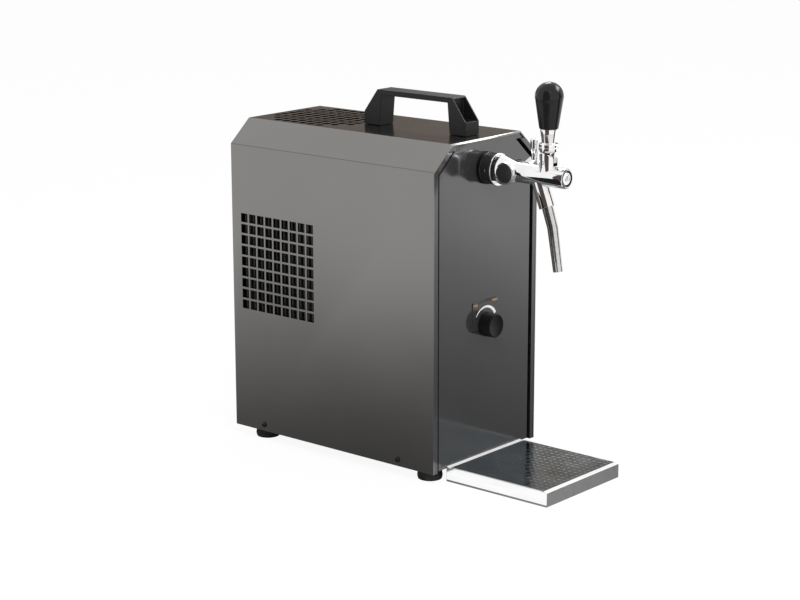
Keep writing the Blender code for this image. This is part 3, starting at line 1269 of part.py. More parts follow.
def build_condenser():
    spine = CONDENSER_X - CONDENSER_SPINE
    tip = CONDENSER_X - CONDENSER_THICKNESS
    start = CONDENSER_FRONT_DEPTH
    count = round(CONDENSER_LENGTH / FIN_PITCH)
    outline = [(CONDENSER_X, back(start))]
    for fin in range(count):
        near = start + fin * FIN_PITCH
        far = near + FIN_THICKNESS
        outline += [(spine, back(near)), (tip, back(near)), (tip, back(far)), (spine, back(far))]
    del outline[1]
    end = start + (count - 1) * FIN_PITCH + FIN_THICKNESS
    del outline[-1]
    outline.append((CONDENSER_X, back(end)))
    pushed("condenser", outline, "Z", CONDENSER_BOTTOM, CONDENSER_TOP, "aluminium")


def build_fan():
    centre = (back(FAN_DEPTH), FAN_Z)
    front = CONDENSER_FRONT_DEPTH
    rear = front + CONDENSER_LENGTH
    leg_rear = front + SHROUD_LEG
    top = CONDENSER_TOP + SHROUD_RISE
    low = BASE_FLOOR + SEAT
    step_z = CONDENSER_BOTTOM - SHROUD_RISE
    outline = [(front, low), (leg_rear, low), (leg_rear, step_z), (rear, step_z), (rear, top), (front, top)]
    sheet_x = SHROUD_X - SHROUD_SHEET
    shroud = pushed("fan_shroud", [(back(d), z) for d, z in outline], "X", sheet_x, SHROUD_X, "zinc_sheet")
    foot = bmesh.new()
    add_box(foot, (SHROUD_X - SHROUD_FOOT, SHROUD_X - FUSE), (back(front), back(leg_rear)),
            (low, low + SHROUD_SHEET))
    boolean(shroud, foot, "UNION")
    duct = bmesh.new()
    add_cylinder(duct, DUCT_RADIUS + DUCT_WALL, "X", centre, SHROUD_X - FUSE, DUCT_END_X, LARGE_SIDES)
    boolean(shroud, duct, "UNION")
    cut_round(shroud, DUCT_RADIUS, "X", centre, sheet_x - OVERRUN, DUCT_END_X + OVERRUN, LARGE_SIDES)
    reach = DUCT_RADIUS + DUCT_WALL
    arm = ARM_WIDTH / 2
    y, z = centre
    cross = [(y - arm, z - reach), (y + arm, z - reach), (y + arm, z - arm), (y + reach, z - arm),
             (y + reach, z + arm), (y + arm, z + arm), (y + arm, z + reach), (y - arm, z + reach),
             (y - arm, z + arm), (y - reach, z + arm), (y - reach, z - arm), (y - arm, z - arm)]
    bracket = pushed("fan_bracket", cross, "X", ARM_X, ARM_X + ARM_SHEET, "zinc_sheet")
    cut_round(bracket, ARM_HOLE, "X", centre, ARM_X - OVERRUN, ARM_X + ARM_SHEET + OVERRUN)
    motor_end = MOTOR_X + MOTOR_LENGTH
    shaft_tip = MOTOR_X + FAN_SHAFT_ENGAGED
    hole = bore(FAN_SHAFT_RADIUS, MIDDLE_SIDES)
    motor = [(0, shaft_tip + SEAT), (hole, shaft_tip + SEAT), (hole, MOTOR_X), (MOTOR_RADIUS, MOTOR_X),
             (MOTOR_RADIUS, motor_end - MOTOR_BEVEL), (MOTOR_RADIUS - MOTOR_BEVEL, motor_end), (0, motor_end)]
    turned("fan_motor", motor, "X", centre, "shell_black")
    hub_end = DUCT_END_X - HUB_SETBACK
    hub_start = hub_end - HUB_LENGTH
    hub = [(0, hub_start), (HUB_RADIUS, hub_start), (HUB_RADIUS, hub_end), (FAN_SHAFT_RADIUS, hub_end),
           (FAN_SHAFT_RADIUS, shaft_tip), (0, shaft_tip)]
    middle = (hub_start + hub_end) / 2
    fan = turned("fan_blade", hub, "X", centre, "black_plastic", origin=(middle, *centre))
    blades = bmesh.new()
    half_chord = BLADE_CHORD / 2
    for index in range(BLADE_COUNT):
        blade = bmesh.new()
        add_box(blade, (-BLADE_SHEET / 2, BLADE_SHEET / 2), (-half_chord, half_chord),
                (HUB_RADIUS / 2, BLADE_REACH))
        twist = Matrix.Rotation(BLADE_PITCH, 4, "Z")
        turn = Matrix.Rotation(math.tau * index / BLADE_COUNT, 4, "X")
        place = Matrix.Translation((middle, *centre))
        bmesh.ops.transform(blade, matrix=place @ turn @ twist, verts=blade.verts)
        copy = bpy.data.meshes.new("blade")
        blade.to_mesh(copy)
        blade.free()
        blades.from_mesh(copy)
    boolean(fan, blades, "UNION")


def build_tubes():
    """Beer and refrigerant lines between the block, the compressor and the condenser."""
    block = BLOCK_TOP + SEAT
    port = PORT_Z + SEAT
    condenser_top = CONDENSER_TOP + SEAT
    rear = back(REAR_PORT_DEPTH)
    inlet = back(REAR_BACK - INLET_TAIL - SEAT)
    riser = back(BEER_OUT_DEPTH)
    beer_out = [(0, riser, block), (0, riser, TAP_Z), (0, back(SHANK_TAIL + SEAT), TAP_Z)]
    beer_in = [(INLET_X, inlet, INLET_Z), (INLET_X, rear, INLET_Z), (INLET_X, rear, block)]
    drop = back(COMPRESSOR_DEPTH)
    suction = [(SUCTION_X, rear, block), (SUCTION_X, rear, LINE_Z), (SUCTION_X, drop, LINE_Z),
               (SUCTION_X, drop, port)]
    y = back(DISCHARGE_DEPTH)
    discharge = [(DISCHARGE_X, y, port), (DISCHARGE_X, y, DISCHARGE_Z), (CONDENSER_PORT_X, y, DISCHARGE_Z),
                 (CONDENSER_PORT_X, y, condenser_top)]
    routes = {
        "beer_line_out": (beer_out, BEER_TUBE, "tube_clear"),
        "beer_line_in": (beer_in, BEER_TUBE, "tube_clear"),
        "suction_tube": (suction, SUCTION_TUBE, "copper"),
        "discharge_tube": (discharge, DISCHARGE_TUBE, "copper"),
    }
    for name, (route, radius, finish) in routes.items():
        points = rounded(route, TUBE_BEND)
        mesh = bmesh.new()
        add_tube(mesh, points, [radius] * len(points))
        finish_object(name, mesh, finish, smooth=True)
    y = back(LIQUID_DEPTH)
    drier_low = condenser_top + DRIER_START
    drier_high = drier_low + DRIER_LENGTH
    over = INLET_Z + BEER_TUBE + LIQUID_TUBE + LIQUID_CLEAR
    route = [(CONDENSER_PORT_X, y, drier_high + DRIER_NECK), (CONDENSER_PORT_X, y, over),
             (LIQUID_X, y, over), (LIQUID_X, rear, over), (LIQUID_X, rear, block)]
    liquid = rounded(route, LIQUID_BEND)
    can = [(condenser_top, LIQUID_TUBE), (drier_low - DRIER_NECK, LIQUID_TUBE), (drier_low, DRIER_RADIUS),
           (drier_high, DRIER_RADIUS)]
    points = [Vector((CONDENSER_PORT_X, y, step[0])) for step in can] + liquid
    radii = [step[1] for step in can] + [LIQUID_TUBE] * len(liquid)
    mesh = bmesh.new()
    add_tube(mesh, points, radii)
    finish_object("filter_drier", mesh, "copper", smooth=True)


# Rear fittings

def build_inlet():
    centre = (INLET_X, INLET_Z)
    flange_start = REAR_FACE + SEAT
    flange_end = flange_start + INLET_FLANGE_LENGTH
    tail = REAR_BACK - INLET_TAIL
    counter = bore(COLLET_RADIUS, MIDDLE_SIDES)
    sleeve_start = COLLET_HEAD_BACK - COLLET_SLEEVE
    counter_end = sleeve_start - COLLET_TRAVEL - SEAT
    profile = [(INLET_BORE, tail), (INLET_RADIUS, tail), (INLET_RADIUS, flange_start),
               (INLET_FLANGE_RADIUS, flange_start), (INLET_FLANGE_RADIUS, flange_end),
               (INLET_RADIUS, flange_end), (INLET_RADIUS, INLET_MOUTH), (counter, INLET_MOUTH),
               (counter, counter_end), (INLET_BORE, counter_end)]
    turned("beer_inlet_fitting", [(r, back(d)) for r, d in profile], "Y", centre, "white_plastic",
           closed=True)
    collet = [(COLLET_BORE, sleeve_start), (COLLET_RADIUS, sleeve_start), (COLLET_RADIUS, COLLET_HEAD_BACK),
              (COLLET_HEAD_RADIUS, COLLET_HEAD_BACK), (COLLET_HEAD_RADIUS, REAR_REACH),
              (COLLET_BORE, REAR_REACH)]
    turned("inlet_collet", [(r, back(d)) for r, d in collet], "Y", centre, "black_plastic", closed=True,
           origin=(INLET_X, back(COLLET_HEAD_BACK), INLET_Z))


def build_power_inlet():
    half_x = SOCKET_WIDTH / 2
    half_z = SOCKET_HEIGHT / 2
    face = REAR_FACE + SEAT + RIM_SHEET
    body = bmesh.new()
    add_box(body, (SOCKET_X - half_x, SOCKET_X + half_x), (back(face - SOCKET_BODY), back(face)),
            (POWER_Z - half_z, POWER_Z + half_z))
    socket = finish_object("power_inlet", body, "black_plastic")
    rim = bmesh.new()
    add_box(rim, (SOCKET_X - half_x - SOCKET_RIM, SOCKET_X + half_x + SOCKET_RIM),
            (back(REAR_FACE + SEAT), back(face)),
            (POWER_Z - half_z - SOCKET_RIM, POWER_Z + half_z + SOCKET_RIM))
    boolean(socket, rim, "UNION")
    cavity = bmesh.new()
    wall = SOCKET_WALL
    add_box(cavity, (SOCKET_X - half_x + wall, SOCKET_X + half_x - wall),
            (back(face - SOCKET_CAVITY), back(face + wall)),
            (POWER_Z - half_z + wall, POWER_Z + half_z - wall))
    boolean(socket, cavity)


def build_switch():
    half_x = SWITCH_WIDTH / 2
    half_z = SWITCH_HEIGHT / 2
    face = REAR_FACE + SEAT + RIM_SHEET
    body = bmesh.new()
    add_box(body, (SWITCH_X - half_x, SWITCH_X + half_x), (back(face - SWITCH_BODY), back(face)),
            (POWER_Z - half_z, POWER_Z + half_z))
    housing = finish_object("switch_housing", body, "black_plastic")
    rim = bmesh.new()
    add_box(rim, (SWITCH_X - half_x - SOCKET_RIM, SWITCH_X + half_x + SOCKET_RIM),
            (back(REAR_FACE + SEAT), back(face)),
            (POWER_Z - half_z - SOCKET_RIM, POWER_Z + half_z + SOCKET_RIM))
    boolean(housing, rim, "UNION")
    cavity = bmesh.new()
    pocket_x = ROCKER_WIDTH / 2 + SEAT
    pocket_z = math.hypot(ROCKER_HALF, ROCKER_FACE + ROCKER_CROWN) + SEAT
    add_box(cavity, (SWITCH_X - pocket_x, SWITCH_X + pocket_x),
            (back(face - ROCKER_CAVITY), back(face + OVERRUN)), (POWER_Z - pocket_z, POWER_Z + pocket_z))
    boolean(housing, cavity)
    pivot_depth = face - ROCKER_PIVOT_INSET
    pivot = Vector((SWITCH_X, back(pivot_depth), POWER_Z))
    shape = [(ROCKER_FACE, 0), (ROCKER_FACE + ROCKER_CROWN, ROCKER_HALF), (0, ROCKER_HALF), (-ROCKER_KEEL, 0),
             (0, -ROCKER_HALF), (ROCKER_FACE + ROCKER_CROWN, -ROCKER_HALF)]
    tilt = Matrix.Rotation(-ROCKER_REST, 2)
    outline = []
    for point in shape:
        placed = tilt @ Vector(point)
        outline.append((pivot.y + placed.x, pivot.z + placed.y))
    half_rocker = ROCKER_WIDTH / 2
    pushed("switch_rocker", outline, "X", SWITCH_X - half_rocker, SWITCH_X + half_rocker, "gloss_black",
           origin=pivot)


# Drip tray

def build_drip_tray():
    half = TRAY_WIDTH / 2
    rear = TRAY_START
    front = TRAY_REACH
    middle = (0, ahead((front + rear) / 2), 0)
    tray = bmesh.new()
    add_box(tray, (-half, half), (ahead(front), ahead(rear)), (0, TRAY_HEIGHT))
    tray = finish_object("drip_tray", tray, "stainless", origin=middle)
    hollow = bmesh.new()
    inner = half - TRAY_SIDE_WALL
    add_box(hollow, (-inner, inner), (ahead(front - TRAY_HEM), ahead(rear + TRAY_HEM)),
            (TRAY_FLOOR, TRAY_HEIGHT + OVERRUN))
    boolean(tray, hollow)


def build_drip_grid():
    half = TRAY_WIDTH / 2 - TRAY_SIDE_WALL - SEAT
    rear = TRAY_START + TRAY_HEM + SEAT
    front = TRAY_REACH - TRAY_HEM - SEAT
    top = TRAY_HEIGHT - GRID_DROP
    low = TRAY_FLOOR + SEAT
    centre_out = (front + rear) / 2
    inner = half - GRID_SKIRT
    under = top - GRID_SHEET
    shape = [(-half, low), (-half, top), (half, top), (half, low), (inner, low), (inner, under),
             (-inner, under), (-inner, low)]
    grid = pushed("drip_grid", shape, "Y", ahead(front), ahead(rear), "stainless",
                  origin=(0, ahead(centre_out), low))
    columns = int((2 * half - 2 * GRID_BORDER) / GRID_PITCH)
    rows = int((front - rear - 2 * GRID_BORDER) / GRID_PITCH)
    holes = bmesh.new()
    for column in range(columns + 1):
        x = (column - columns / 2) * GRID_PITCH
        for row in range(rows + 1):
            out = centre_out + (row - rows / 2) * GRID_PITCH
            add_cylinder(holes, GRID_HOLE, "Z", (x, ahead(out)), under - OVERRUN, top + OVERRUN,
                         GRID_HOLE_SIDES)
    boolean(grid, holes)


build_outer_cover()
build_front_panel()
build_front_seal()
build_base_pan()
build_rear_panel()
build_feet()
build_cover_screws()
build_carry_handle()
build_handle_bolts()
build_shank()
build_coupling_nut()
build_tap_body()
build_tap_trim()
build_tap_lever()
build_tap_handle()
build_valve()
build_compensator_lever()
build_spout()
build_thermostat()
build_cooler()
build_compressor()
build_condenser()
build_fan()
build_tubes()
build_inlet()
build_power_inlet()
build_switch()
build_drip_tray()
build_drip_grid()
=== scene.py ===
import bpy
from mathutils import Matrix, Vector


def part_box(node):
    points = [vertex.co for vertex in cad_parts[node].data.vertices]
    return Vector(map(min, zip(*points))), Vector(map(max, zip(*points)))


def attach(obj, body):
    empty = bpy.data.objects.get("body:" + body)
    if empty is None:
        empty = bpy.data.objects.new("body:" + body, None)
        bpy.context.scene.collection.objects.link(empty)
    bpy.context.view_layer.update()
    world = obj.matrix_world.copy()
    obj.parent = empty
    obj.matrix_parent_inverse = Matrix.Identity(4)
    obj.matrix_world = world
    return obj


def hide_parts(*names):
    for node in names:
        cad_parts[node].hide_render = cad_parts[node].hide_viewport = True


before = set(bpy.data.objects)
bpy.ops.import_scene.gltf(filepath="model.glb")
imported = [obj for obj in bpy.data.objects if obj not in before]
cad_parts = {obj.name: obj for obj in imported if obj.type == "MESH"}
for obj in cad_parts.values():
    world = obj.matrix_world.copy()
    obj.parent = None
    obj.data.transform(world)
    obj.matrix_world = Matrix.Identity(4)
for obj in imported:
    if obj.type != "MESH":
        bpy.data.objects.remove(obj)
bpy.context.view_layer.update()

import math

import bmesh
import bpy
from mathutils import Matrix, Vector

# Shapes are drawn in millimetres: X to the right, Y back from the cover's front edge, Z up from the counter
MM = 0.001
FRONT_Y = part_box("outer_cover")[0].y
TO_FRAME = Matrix.Translation((0, FRONT_Y, 0)) @ Matrix.Scale(MM, 4)
FROM_FRAME = TO_FRAME.inverted()
CORNERS = ("front_left", "front_right", "rear_left", "rear_right")


def span(name):
    """Lowest and highest corner of a CAD node, in drawing millimetres."""
    low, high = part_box(name)
    return FROM_FRAME @ low, FROM_FRAME @ high


def middle(name):
    low, high = span(name)
    return (low + high) / 2


def side_place(name):
    """Middle of a node as seen from a side."""
    return (middle(name).y, middle(name).z)


# Shader nodes

NOISE_RANGE = (0.35, 0.65)
UNEVEN_GLOSS = 0.02


def fill(tree, made, values):
    """Sets or links a node's inputs, and sets its other settings, by their names."""
    for key, value in values.items():
        socket = made.inputs.get(key)
        if socket is None:
            setattr(made, key, value)
        elif isinstance(value, bpy.types.NodeSocket):
            tree.links.new(value, socket)
        else:
            socket.default_value = value
    return made


def node(tree, kind, **values):
    return fill(tree, tree.nodes.new(kind), values)


def maths(tree, operation, first, second):
    """Sum, product or the like of a socket and a socket or number."""
    made = node(tree, "ShaderNodeMath", operation=operation)
    tree.links.new(first, made.inputs[0])
    if isinstance(second, float):
        made.inputs[1].default_value = second
    else:
        tree.links.new(second, made.inputs[1])
    return made.outputs[0]


def mix_shaders(tree, factor, first, second):
    made = node(tree, "ShaderNodeMixShader")
    for source, socket in zip((factor, first.outputs[0], second.outputs[0]), made.inputs):
        tree.links.new(source, socket)
    return made


def noise(tree, vector, scale, detail):
    return node(tree, "ShaderNodeTexNoise", Vector=vector, Scale=scale, Detail=detail).outputs["Fac"]


def ranged(tree, value, start, end, low=0.0, high=1.0):
    """Value between start and end, stretched to run from low to high."""
    limits = {"From Min": start, "From Max": end, "To Min": low, "To Max": high}
    return node(tree, "ShaderNodeMapRange", Value=value, **limits).outputs["Result"]


def ramp(tree, factor, stops):
    """Colours along a factor, each stop a place from 0 to 1 and a colour."""
    made = node(tree, "ShaderNodeValToRGB", Fac=factor)
    elements = made.color_ramp.elements
    while len(elements) < len(stops):
        elements.new(0.5)
    for element, (place, colour) in zip(elements, stops):
        element.position = place
        element.color = (*colour, 1)
    return made.outputs["Color"]


def grey(level):
    return (level, level, level)


def surface(name, dark, light, rough, metallic=0.0, grain=900, height=20, strength=0.1, patch=60,
            stretch=(1, 1, 1), specular=0.5):
    """Colour patches, uneven gloss and a fine grain, whose height is in thousandths of a millimetre."""
    material = bpy.data.materials.new(name)
    material.use_nodes = True
    tree = material.node_tree
    place = node(tree, "ShaderNodeTexCoord").outputs["Object"]
    place = node(tree, "ShaderNodeMapping", Scale=stretch, Vector=place).outputs["Vector"]
    patches = noise(tree, place, patch, 4.0)
    fine = noise(tree, place, grain, 2.0)
    gloss = ranged(tree, patches, *NOISE_RANGE, *rough)
    uneven = ranged(tree, fine, *NOISE_RANGE, -UNEVEN_GLOSS, UNEVEN_GLOSS)
    relief = node(tree, "ShaderNodeBump", Strength=strength, Distance=height * MM * MM, Height=fine)
    fill(tree, tree.nodes["Principled BSDF"], {
        "Base Color": ramp(tree, ranged(tree, patches, *NOISE_RANGE), ((0, dark), (1, light))),
        "Metallic": metallic,
        "Specular IOR Level": specular,
        "Roughness": maths(tree, "ADD", gloss, uneven),
        "Normal": relief.outputs["Normal"],
    })
    return material


# Materials

MATERIALS = {
    "cover": surface("cover_coat", (0.224, 0.219, 0.211), (0.240, 0.234, 0.226), (0.14, 0.19),
            metallic=1.0, height=4, strength=0.05, patch=5),
    # A darker copy of the cover's coat, painted shade along the bend between each side and its chamfer
    "bend": surface("bend_painted_shade", (0.135, 0.131, 0.126), (0.150, 0.146, 0.140), (0.18, 0.24),
            metallic=1.0, height=4, strength=0.05, patch=5),
    "panel": surface("panel_gloss", (0.121, 0.121, 0.123), (0.130, 0.130, 0.132), (0.09, 0.14),
            metallic=0.72, grain=700, height=3, strength=0.04, patch=6),
    # A lighter, duller copy of the panel's finish, painted light on the panel's side flanges inside the
    # shadow gap
    "flange": surface("flange_painted_light", grey(0.17), grey(0.20), (0.40, 0.50), metallic=0.2, grain=700,
            height=6, patch=6),
    "handle": surface("handle_plastic", grey(0.008), grey(0.012), (0.34, 0.44), grain=1500, height=30,
            strength=0.25, patch=25, specular=0.25),
    "cap": surface("cap_plastic", (0.022, 0.021, 0.020), (0.028, 0.027, 0.026), (0.30, 0.40), height=10,
            specular=0.3),
    "gloss": surface("gloss_plastic", grey(0.010), grey(0.013), (0.10, 0.16), grain=500, height=6,
            strength=0.06, patch=40, specular=0.28),
    "collar": surface("collar_plastic", grey(0.017), grey(0.022), (0.14, 0.20), grain=700, height=6,
            strength=0.08, patch=50, specular=0.3),
    "knob": surface("knob_plastic", grey(0.004), grey(0.006), (0.34, 0.44), grain=1600, height=30,
            strength=0.2, specular=0.2),
    "chrome": surface("chrome", grey(0.86), grey(0.92), (0.02, 0.05), metallic=1.0, grain=260, height=3,
            strength=0.04, patch=45),
    "stainless": surface("stainless", (0.60, 0.59, 0.58), (0.68, 0.67, 0.66), (0.12, 0.20),
            metallic=1.0, grain=500, height=6, strength=0.15, patch=20, stretch=(1, 12, 12)),
    "tray": surface("tray_steel", grey(0.88), grey(0.94), (0.08, 0.13), metallic=1.0, grain=400,
            height=5, patch=20, stretch=(8, 1, 8)),
    "rim": surface("rim_steel", grey(0.90), grey(0.95), (0.35, 0.45), metallic=0.3, grain=400, height=5,
            patch=20, stretch=(1, 8, 8)),
    "grid": surface("grid_steel", (0.43, 0.50, 0.53), (0.50, 0.57, 0.60), (0.10, 0.17), metallic=1.0,
            grain=300, height=5, patch=30),
    "rubber": surface("rubber", grey(0.010), grey(0.020), (0.60, 0.80), height=60, strength=0.4,
            patch=80, specular=0.3),
    "foam": surface("foam", grey(0.004), grey(0.010), (0.85, 1.0), grain=700, height=300, strength=0.8,
            patch=150, specular=0.1),
    "block_foam": surface("block_foam", (0.040, 0.040, 0.043), (0.065, 0.065, 0.068), (0.85, 1.0),
            grain=500, height=400, strength=0.8, specular=0.2),
    "screw": surface("black_screw", grey(0.012), grey(0.030), (0.30, 0.45), metallic=0.6, grain=800,
            strength=0.3, patch=200),
    "zinc": surface("zinc_sheet", (0.34, 0.35, 0.36), (0.48, 0.49, 0.50), (0.30, 0.50), metallic=1.0,
            grain=200, strength=0.2, patch=70),
    "aluminium": surface("aluminium", (0.50, 0.51, 0.52), (0.62, 0.63, 0.64), (0.32, 0.50),
            metallic=1.0, grain=600, height=40, strength=0.3, patch=50),
    "fins": surface("black_fins", grey(0.010), grey(0.020), (0.40, 0.60), metallic=0.2, height=30,
            strength=0.3),
    "enamel": surface("black_enamel", (0.010, 0.010, 0.011), (0.018, 0.018, 0.019), (0.20, 0.35),
            metallic=0.1, grain=300, height=30, strength=0.2, patch=30),
    "copper": surface("copper", (0.30, 0.13, 0.07), (0.62, 0.30, 0.17), (0.22, 0.45), metallic=1.0,
            grain=400, strength=0.2),
    "milky": surface("milky_tube", (0.55, 0.57, 0.58), (0.64, 0.66, 0.67), (0.25, 0.35), grain=300,
            height=10, patch=40),
    "white": surface("white_plastic", (0.66, 0.66, 0.63), (0.72, 0.72, 0.70), (0.35, 0.45),
            strength=0.2, patch=40),
    "amber": surface("amber_print", (0.60, 0.34, 0.10), (0.78, 0.50, 0.20), (0.35, 0.5), grain=1500,
            height=5, patch=900),
    "white_print": surface("white_print", grey(0.92), grey(0.96), (0.35, 0.5), grain=1500, height=5,
            patch=400),
    "black_print": surface("black_print", grey(0.004), grey(0.008), (0.35, 0.5), grain=1500, height=5,
            patch=400),
}


# Mesh builders, in millimetres

def around(x, y, *steps):
    """Points at steps from one place."""
    return [(x + across, y + away) for across, away in steps]


def on_axis(axis, along, first, second):
    """Point from its place along an axis and its other two coordinates."""
    if axis == "X":
        return (along, first, second)
    if axis == "Y":
        return (first, along, second)
    return (first, second, along)


def prism(outline, axis, low, high, mesh=None):
    """Straight solid over an outline, from low to high along its axis."""
    mesh = mesh or bmesh.new()
    near = [mesh.verts.new(on_axis(axis, low, *point)) for point in outline]
    far = [mesh.verts.new(on_axis(axis, high, *point)) for point in outline]
    mesh.faces.new(near)
    mesh.faces.new(list(reversed(far)))
    count = len(outline)
    for i in range(count):
        j = (i + 1) % count
        mesh.faces.new((near[j], near[i], far[i], far[j]))
    return mesh


def box(x, y, z, mesh=None):
    return prism([(x[0], y[0]), (x[1], y[0]), (x[1], y[1]), (x[0], y[1])], "Z", z[0], z[1], mesh)


def lathe(profile, axis, centre, sides=96, closed=False, mesh=None):
    """Round solid from radii and places along its axis; a closed profile makes a ring."""
    mesh = mesh or bmesh.new()
    rings = []
    for radius, along in profile:
        if radius == 0:
            rings.append([mesh.verts.new(on_axis(axis, along, *centre))])
            continue
        turns = [math.tau * (side + 0.5) / sides for side in range(sides)]
        places = around(*centre, *((radius * math.cos(turn), radius * math.sin(turn)) for turn in turns))
        rings.append([mesh.verts.new(on_axis(axis, along, *place)) for place in places])
    if closed:
        rings.append(rings[0])
    for here, there in zip(rings, rings[1:]):
        for side in range(sides):
            after = (side + 1) % sides
            if len(here) == 1:
                mesh.faces.new((here[0], there[side], there[after]))
            elif len(there) == 1:
                mesh.faces.new((here[side], there[0], here[after]))
            else:
                mesh.faces.new((here[side], there[side], there[after], here[after]))
    return mesh


def cylinder(radius, axis, centre, low, high, sides=64, mesh=None):
    return lathe([(0, low), (radius, low), (radius, high), (0, high)], axis, centre, sides, mesh=mesh)


def tube(points, radii, sides=48, wall=0):
    """Round bar along a line, or a hollow one if it has a wall."""
    mesh = bmesh.new()
    points = [Vector(p) for p in points]
    count = len(points)
    tangents = [(points[min(i + 1, count - 1)] - points[max(i - 1, 0)]).normalized() for i in range(count)]
    side = tangents[0].cross(Vector((1, 0, 0))).normalized()
    frames = []
    for point, tangent in zip(points, tangents):
        side = (side - tangent * side.dot(tangent)).normalized()
        frames.append((point, side.copy(), tangent.cross(side)))

    def ring(place, radius):
        centre, across, upward = place
        turns = [math.tau * i / sides for i in range(sides)]
        directions = [across * math.cos(turn) + upward * math.sin(turn) for turn in turns]
        return [mesh.verts.new(centre + direction * radius) for direction in directions]

    places = list(zip(frames, radii))
    rings = [ring(place, radius) for place, radius in places]
    if wall:
        rings += [ring(place, radius - wall) for place, radius in reversed(places)]
        rings.append(rings[0])
    else:
        mesh.faces.new(rings[0])
        mesh.faces.new(list(reversed(rings[-1])))
    for here, there in zip(rings, rings[1:]):
        for i in range(sides):
            j = (i + 1) % sides
            mesh.faces.new((here[i], there[i], there[j], here[j]))
    return mesh


def mesh_data(name, mesh):
    data = bpy.data.meshes.new(name)
    mesh.to_mesh(data)
    mesh.free()
    return data


def add(name, data):
    made = bpy.data.objects.new(name, data)
    bpy.context.collection.objects.link(made)
    return made


def evaluated_mesh(shape):
    """What an object's modifiers or text come to."""
    evaluated = shape.evaluated_get(bpy.context.evaluated_depsgraph_get())
    mesh = bmesh.new()
    mesh.from_mesh(evaluated.to_mesh())
    evaluated.to_mesh_clear()
    return mesh


def combine(first, second, operation="DIFFERENCE"):
    """Exact Boolean of two bmeshes, given back as a new one."""
    shapes = []
    for mesh in (first, second):
        bmesh.ops.recalc_face_normals(mesh, faces=mesh.faces)
        shapes.append(add("scratch", mesh_data("scratch", mesh)))
    modifier = shapes[0].modifiers.new("join", "BOOLEAN")
    modifier.operation = operation
    modifier.solver = "EXACT"
    modifier.object = shapes[1]
    result = evaluated_mesh(shapes[0])
    for shape in shapes:
        data = shape.data
        bpy.data.objects.remove(shape, do_unlink=True)
        bpy.data.meshes.remove(data)
    return result


def cut(mesh, *cutters):
    for cutter in cutters:
        mesh = combine(mesh, cutter)
    return mesh


def join(mesh, *others):
    for other in others:
        mesh = combine(mesh, other, "UNION")
    return mesh


def piece(name, mesh, material, body="cabinet", replaces=(), bevel=0.0, segments=2, angle=35,
          smooth=True):
    """Millimetre mesh into a finished piece that rides on a CAD body."""
    bmesh.ops.recalc_face_normals(mesh, faces=mesh.faces)
    mesh.transform(TO_FRAME)
    data = mesh_data(name, mesh)
    if smooth:
        data.shade_smooth()
        data.set_sharp_from_angle(angle=math.radians(angle))
    data.materials.append(MATERIALS[material])
    made = add(name, data)
    if bevel:
        modifier = made.modifiers.new("edges", "BEVEL")
        modifier.width = bevel * MM
        modifier.segments = segments
        modifier.limit_method = "ANGLE"
        modifier.angle_limit = math.radians(30)
        modifier.harden_normals = True
        modifier.use_clamp_overlap = True
    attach(made, body)
    if replaces:
        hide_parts(*replaces)
    return made


def refinish(made, material, wanted):
    """Another finish on the faces for which wanted(face) is true."""
    made.data.materials.append(MATERIALS[material])
    for face in made.data.polygons:
        if wanted(face):
            face.material_index = 1


# Outlines in X and Z

def rounded(points, radius, steps=6):
    """Open line with its inner corners rounded."""
    points = [Vector(p) for p in points]
    result = [points[0]]
    for before, corner, after in zip(points, points[1:], points[2:]):
        to_last = (before - corner).normalized()
        to_next = (after - corner).normalized()
        half = to_last.angle(to_next) / 2
        centre = corner + (to_last + to_next).normalized() * (radius / math.sin(half))
        run = radius / math.tan(half)
        first = (corner + to_last * run - centre).normalized()
        last = (corner + to_next * run - centre).normalized()
        result += [centre + first.slerp(last, step / steps) * radius for step in range(steps + 1)]
    result.append(points[-1])
    return result


def offset_path(path, distance):
    """Open line moved sideways, to the right of its run."""
    path = [Vector(p) for p in path]
    normals = []
    for start, end in zip(path, path[1:]):
        run = (end - start).normalized()
        normals.append(Vector((run.y, -run.x)))
    moved = [path[0] + normals[0] * distance]
    for point, before, after in zip(path[1:-1], normals, normals[1:]):
        moved.append(point + (before + after) * (distance / (1 + before.dot(after))))
    moved.append(path[-1] + normals[-1] * distance)
    return moved


def mirrored(half, centre=0):
    """Outline from the half of it on the low side of a centre line."""
    half = [tuple(point) for point in half]
    return half + [(2 * centre - x, z) for x, z in reversed(half)]


COVER_LOW, COVER_HIGH = span("outer_cover")
CHAMFER = (30, 26)
SKIN = mirrored([(COVER_LOW.x, COVER_LOW.z), (COVER_LOW.x, COVER_HIGH.z - CHAMFER[1]),
                 (COVER_LOW.x + CHAMFER[0], COVER_HIGH.z)])


def corners(inset):
    """Ends of the left chamfer, on the skin moved inwards."""
    inner = offset_path(SKIN, inset)
    return inner[1], inner[2]


def chamfer_point(inset, height):
    """Place at a height on the left chamfer or its extension."""
    low, high = corners(inset)
    return low + (high - low) * ((height - low.y) / (high.y - low.y))


def side_line(inset, bottom, top):
    """Left side from the bottom, with the chamfer up to the top height."""
    low = corners(inset)[0]
    return [Vector((low.x, bottom)), low, chamfer_point(inset, top)]


# Cover, one bent sheet with hems along its front edge

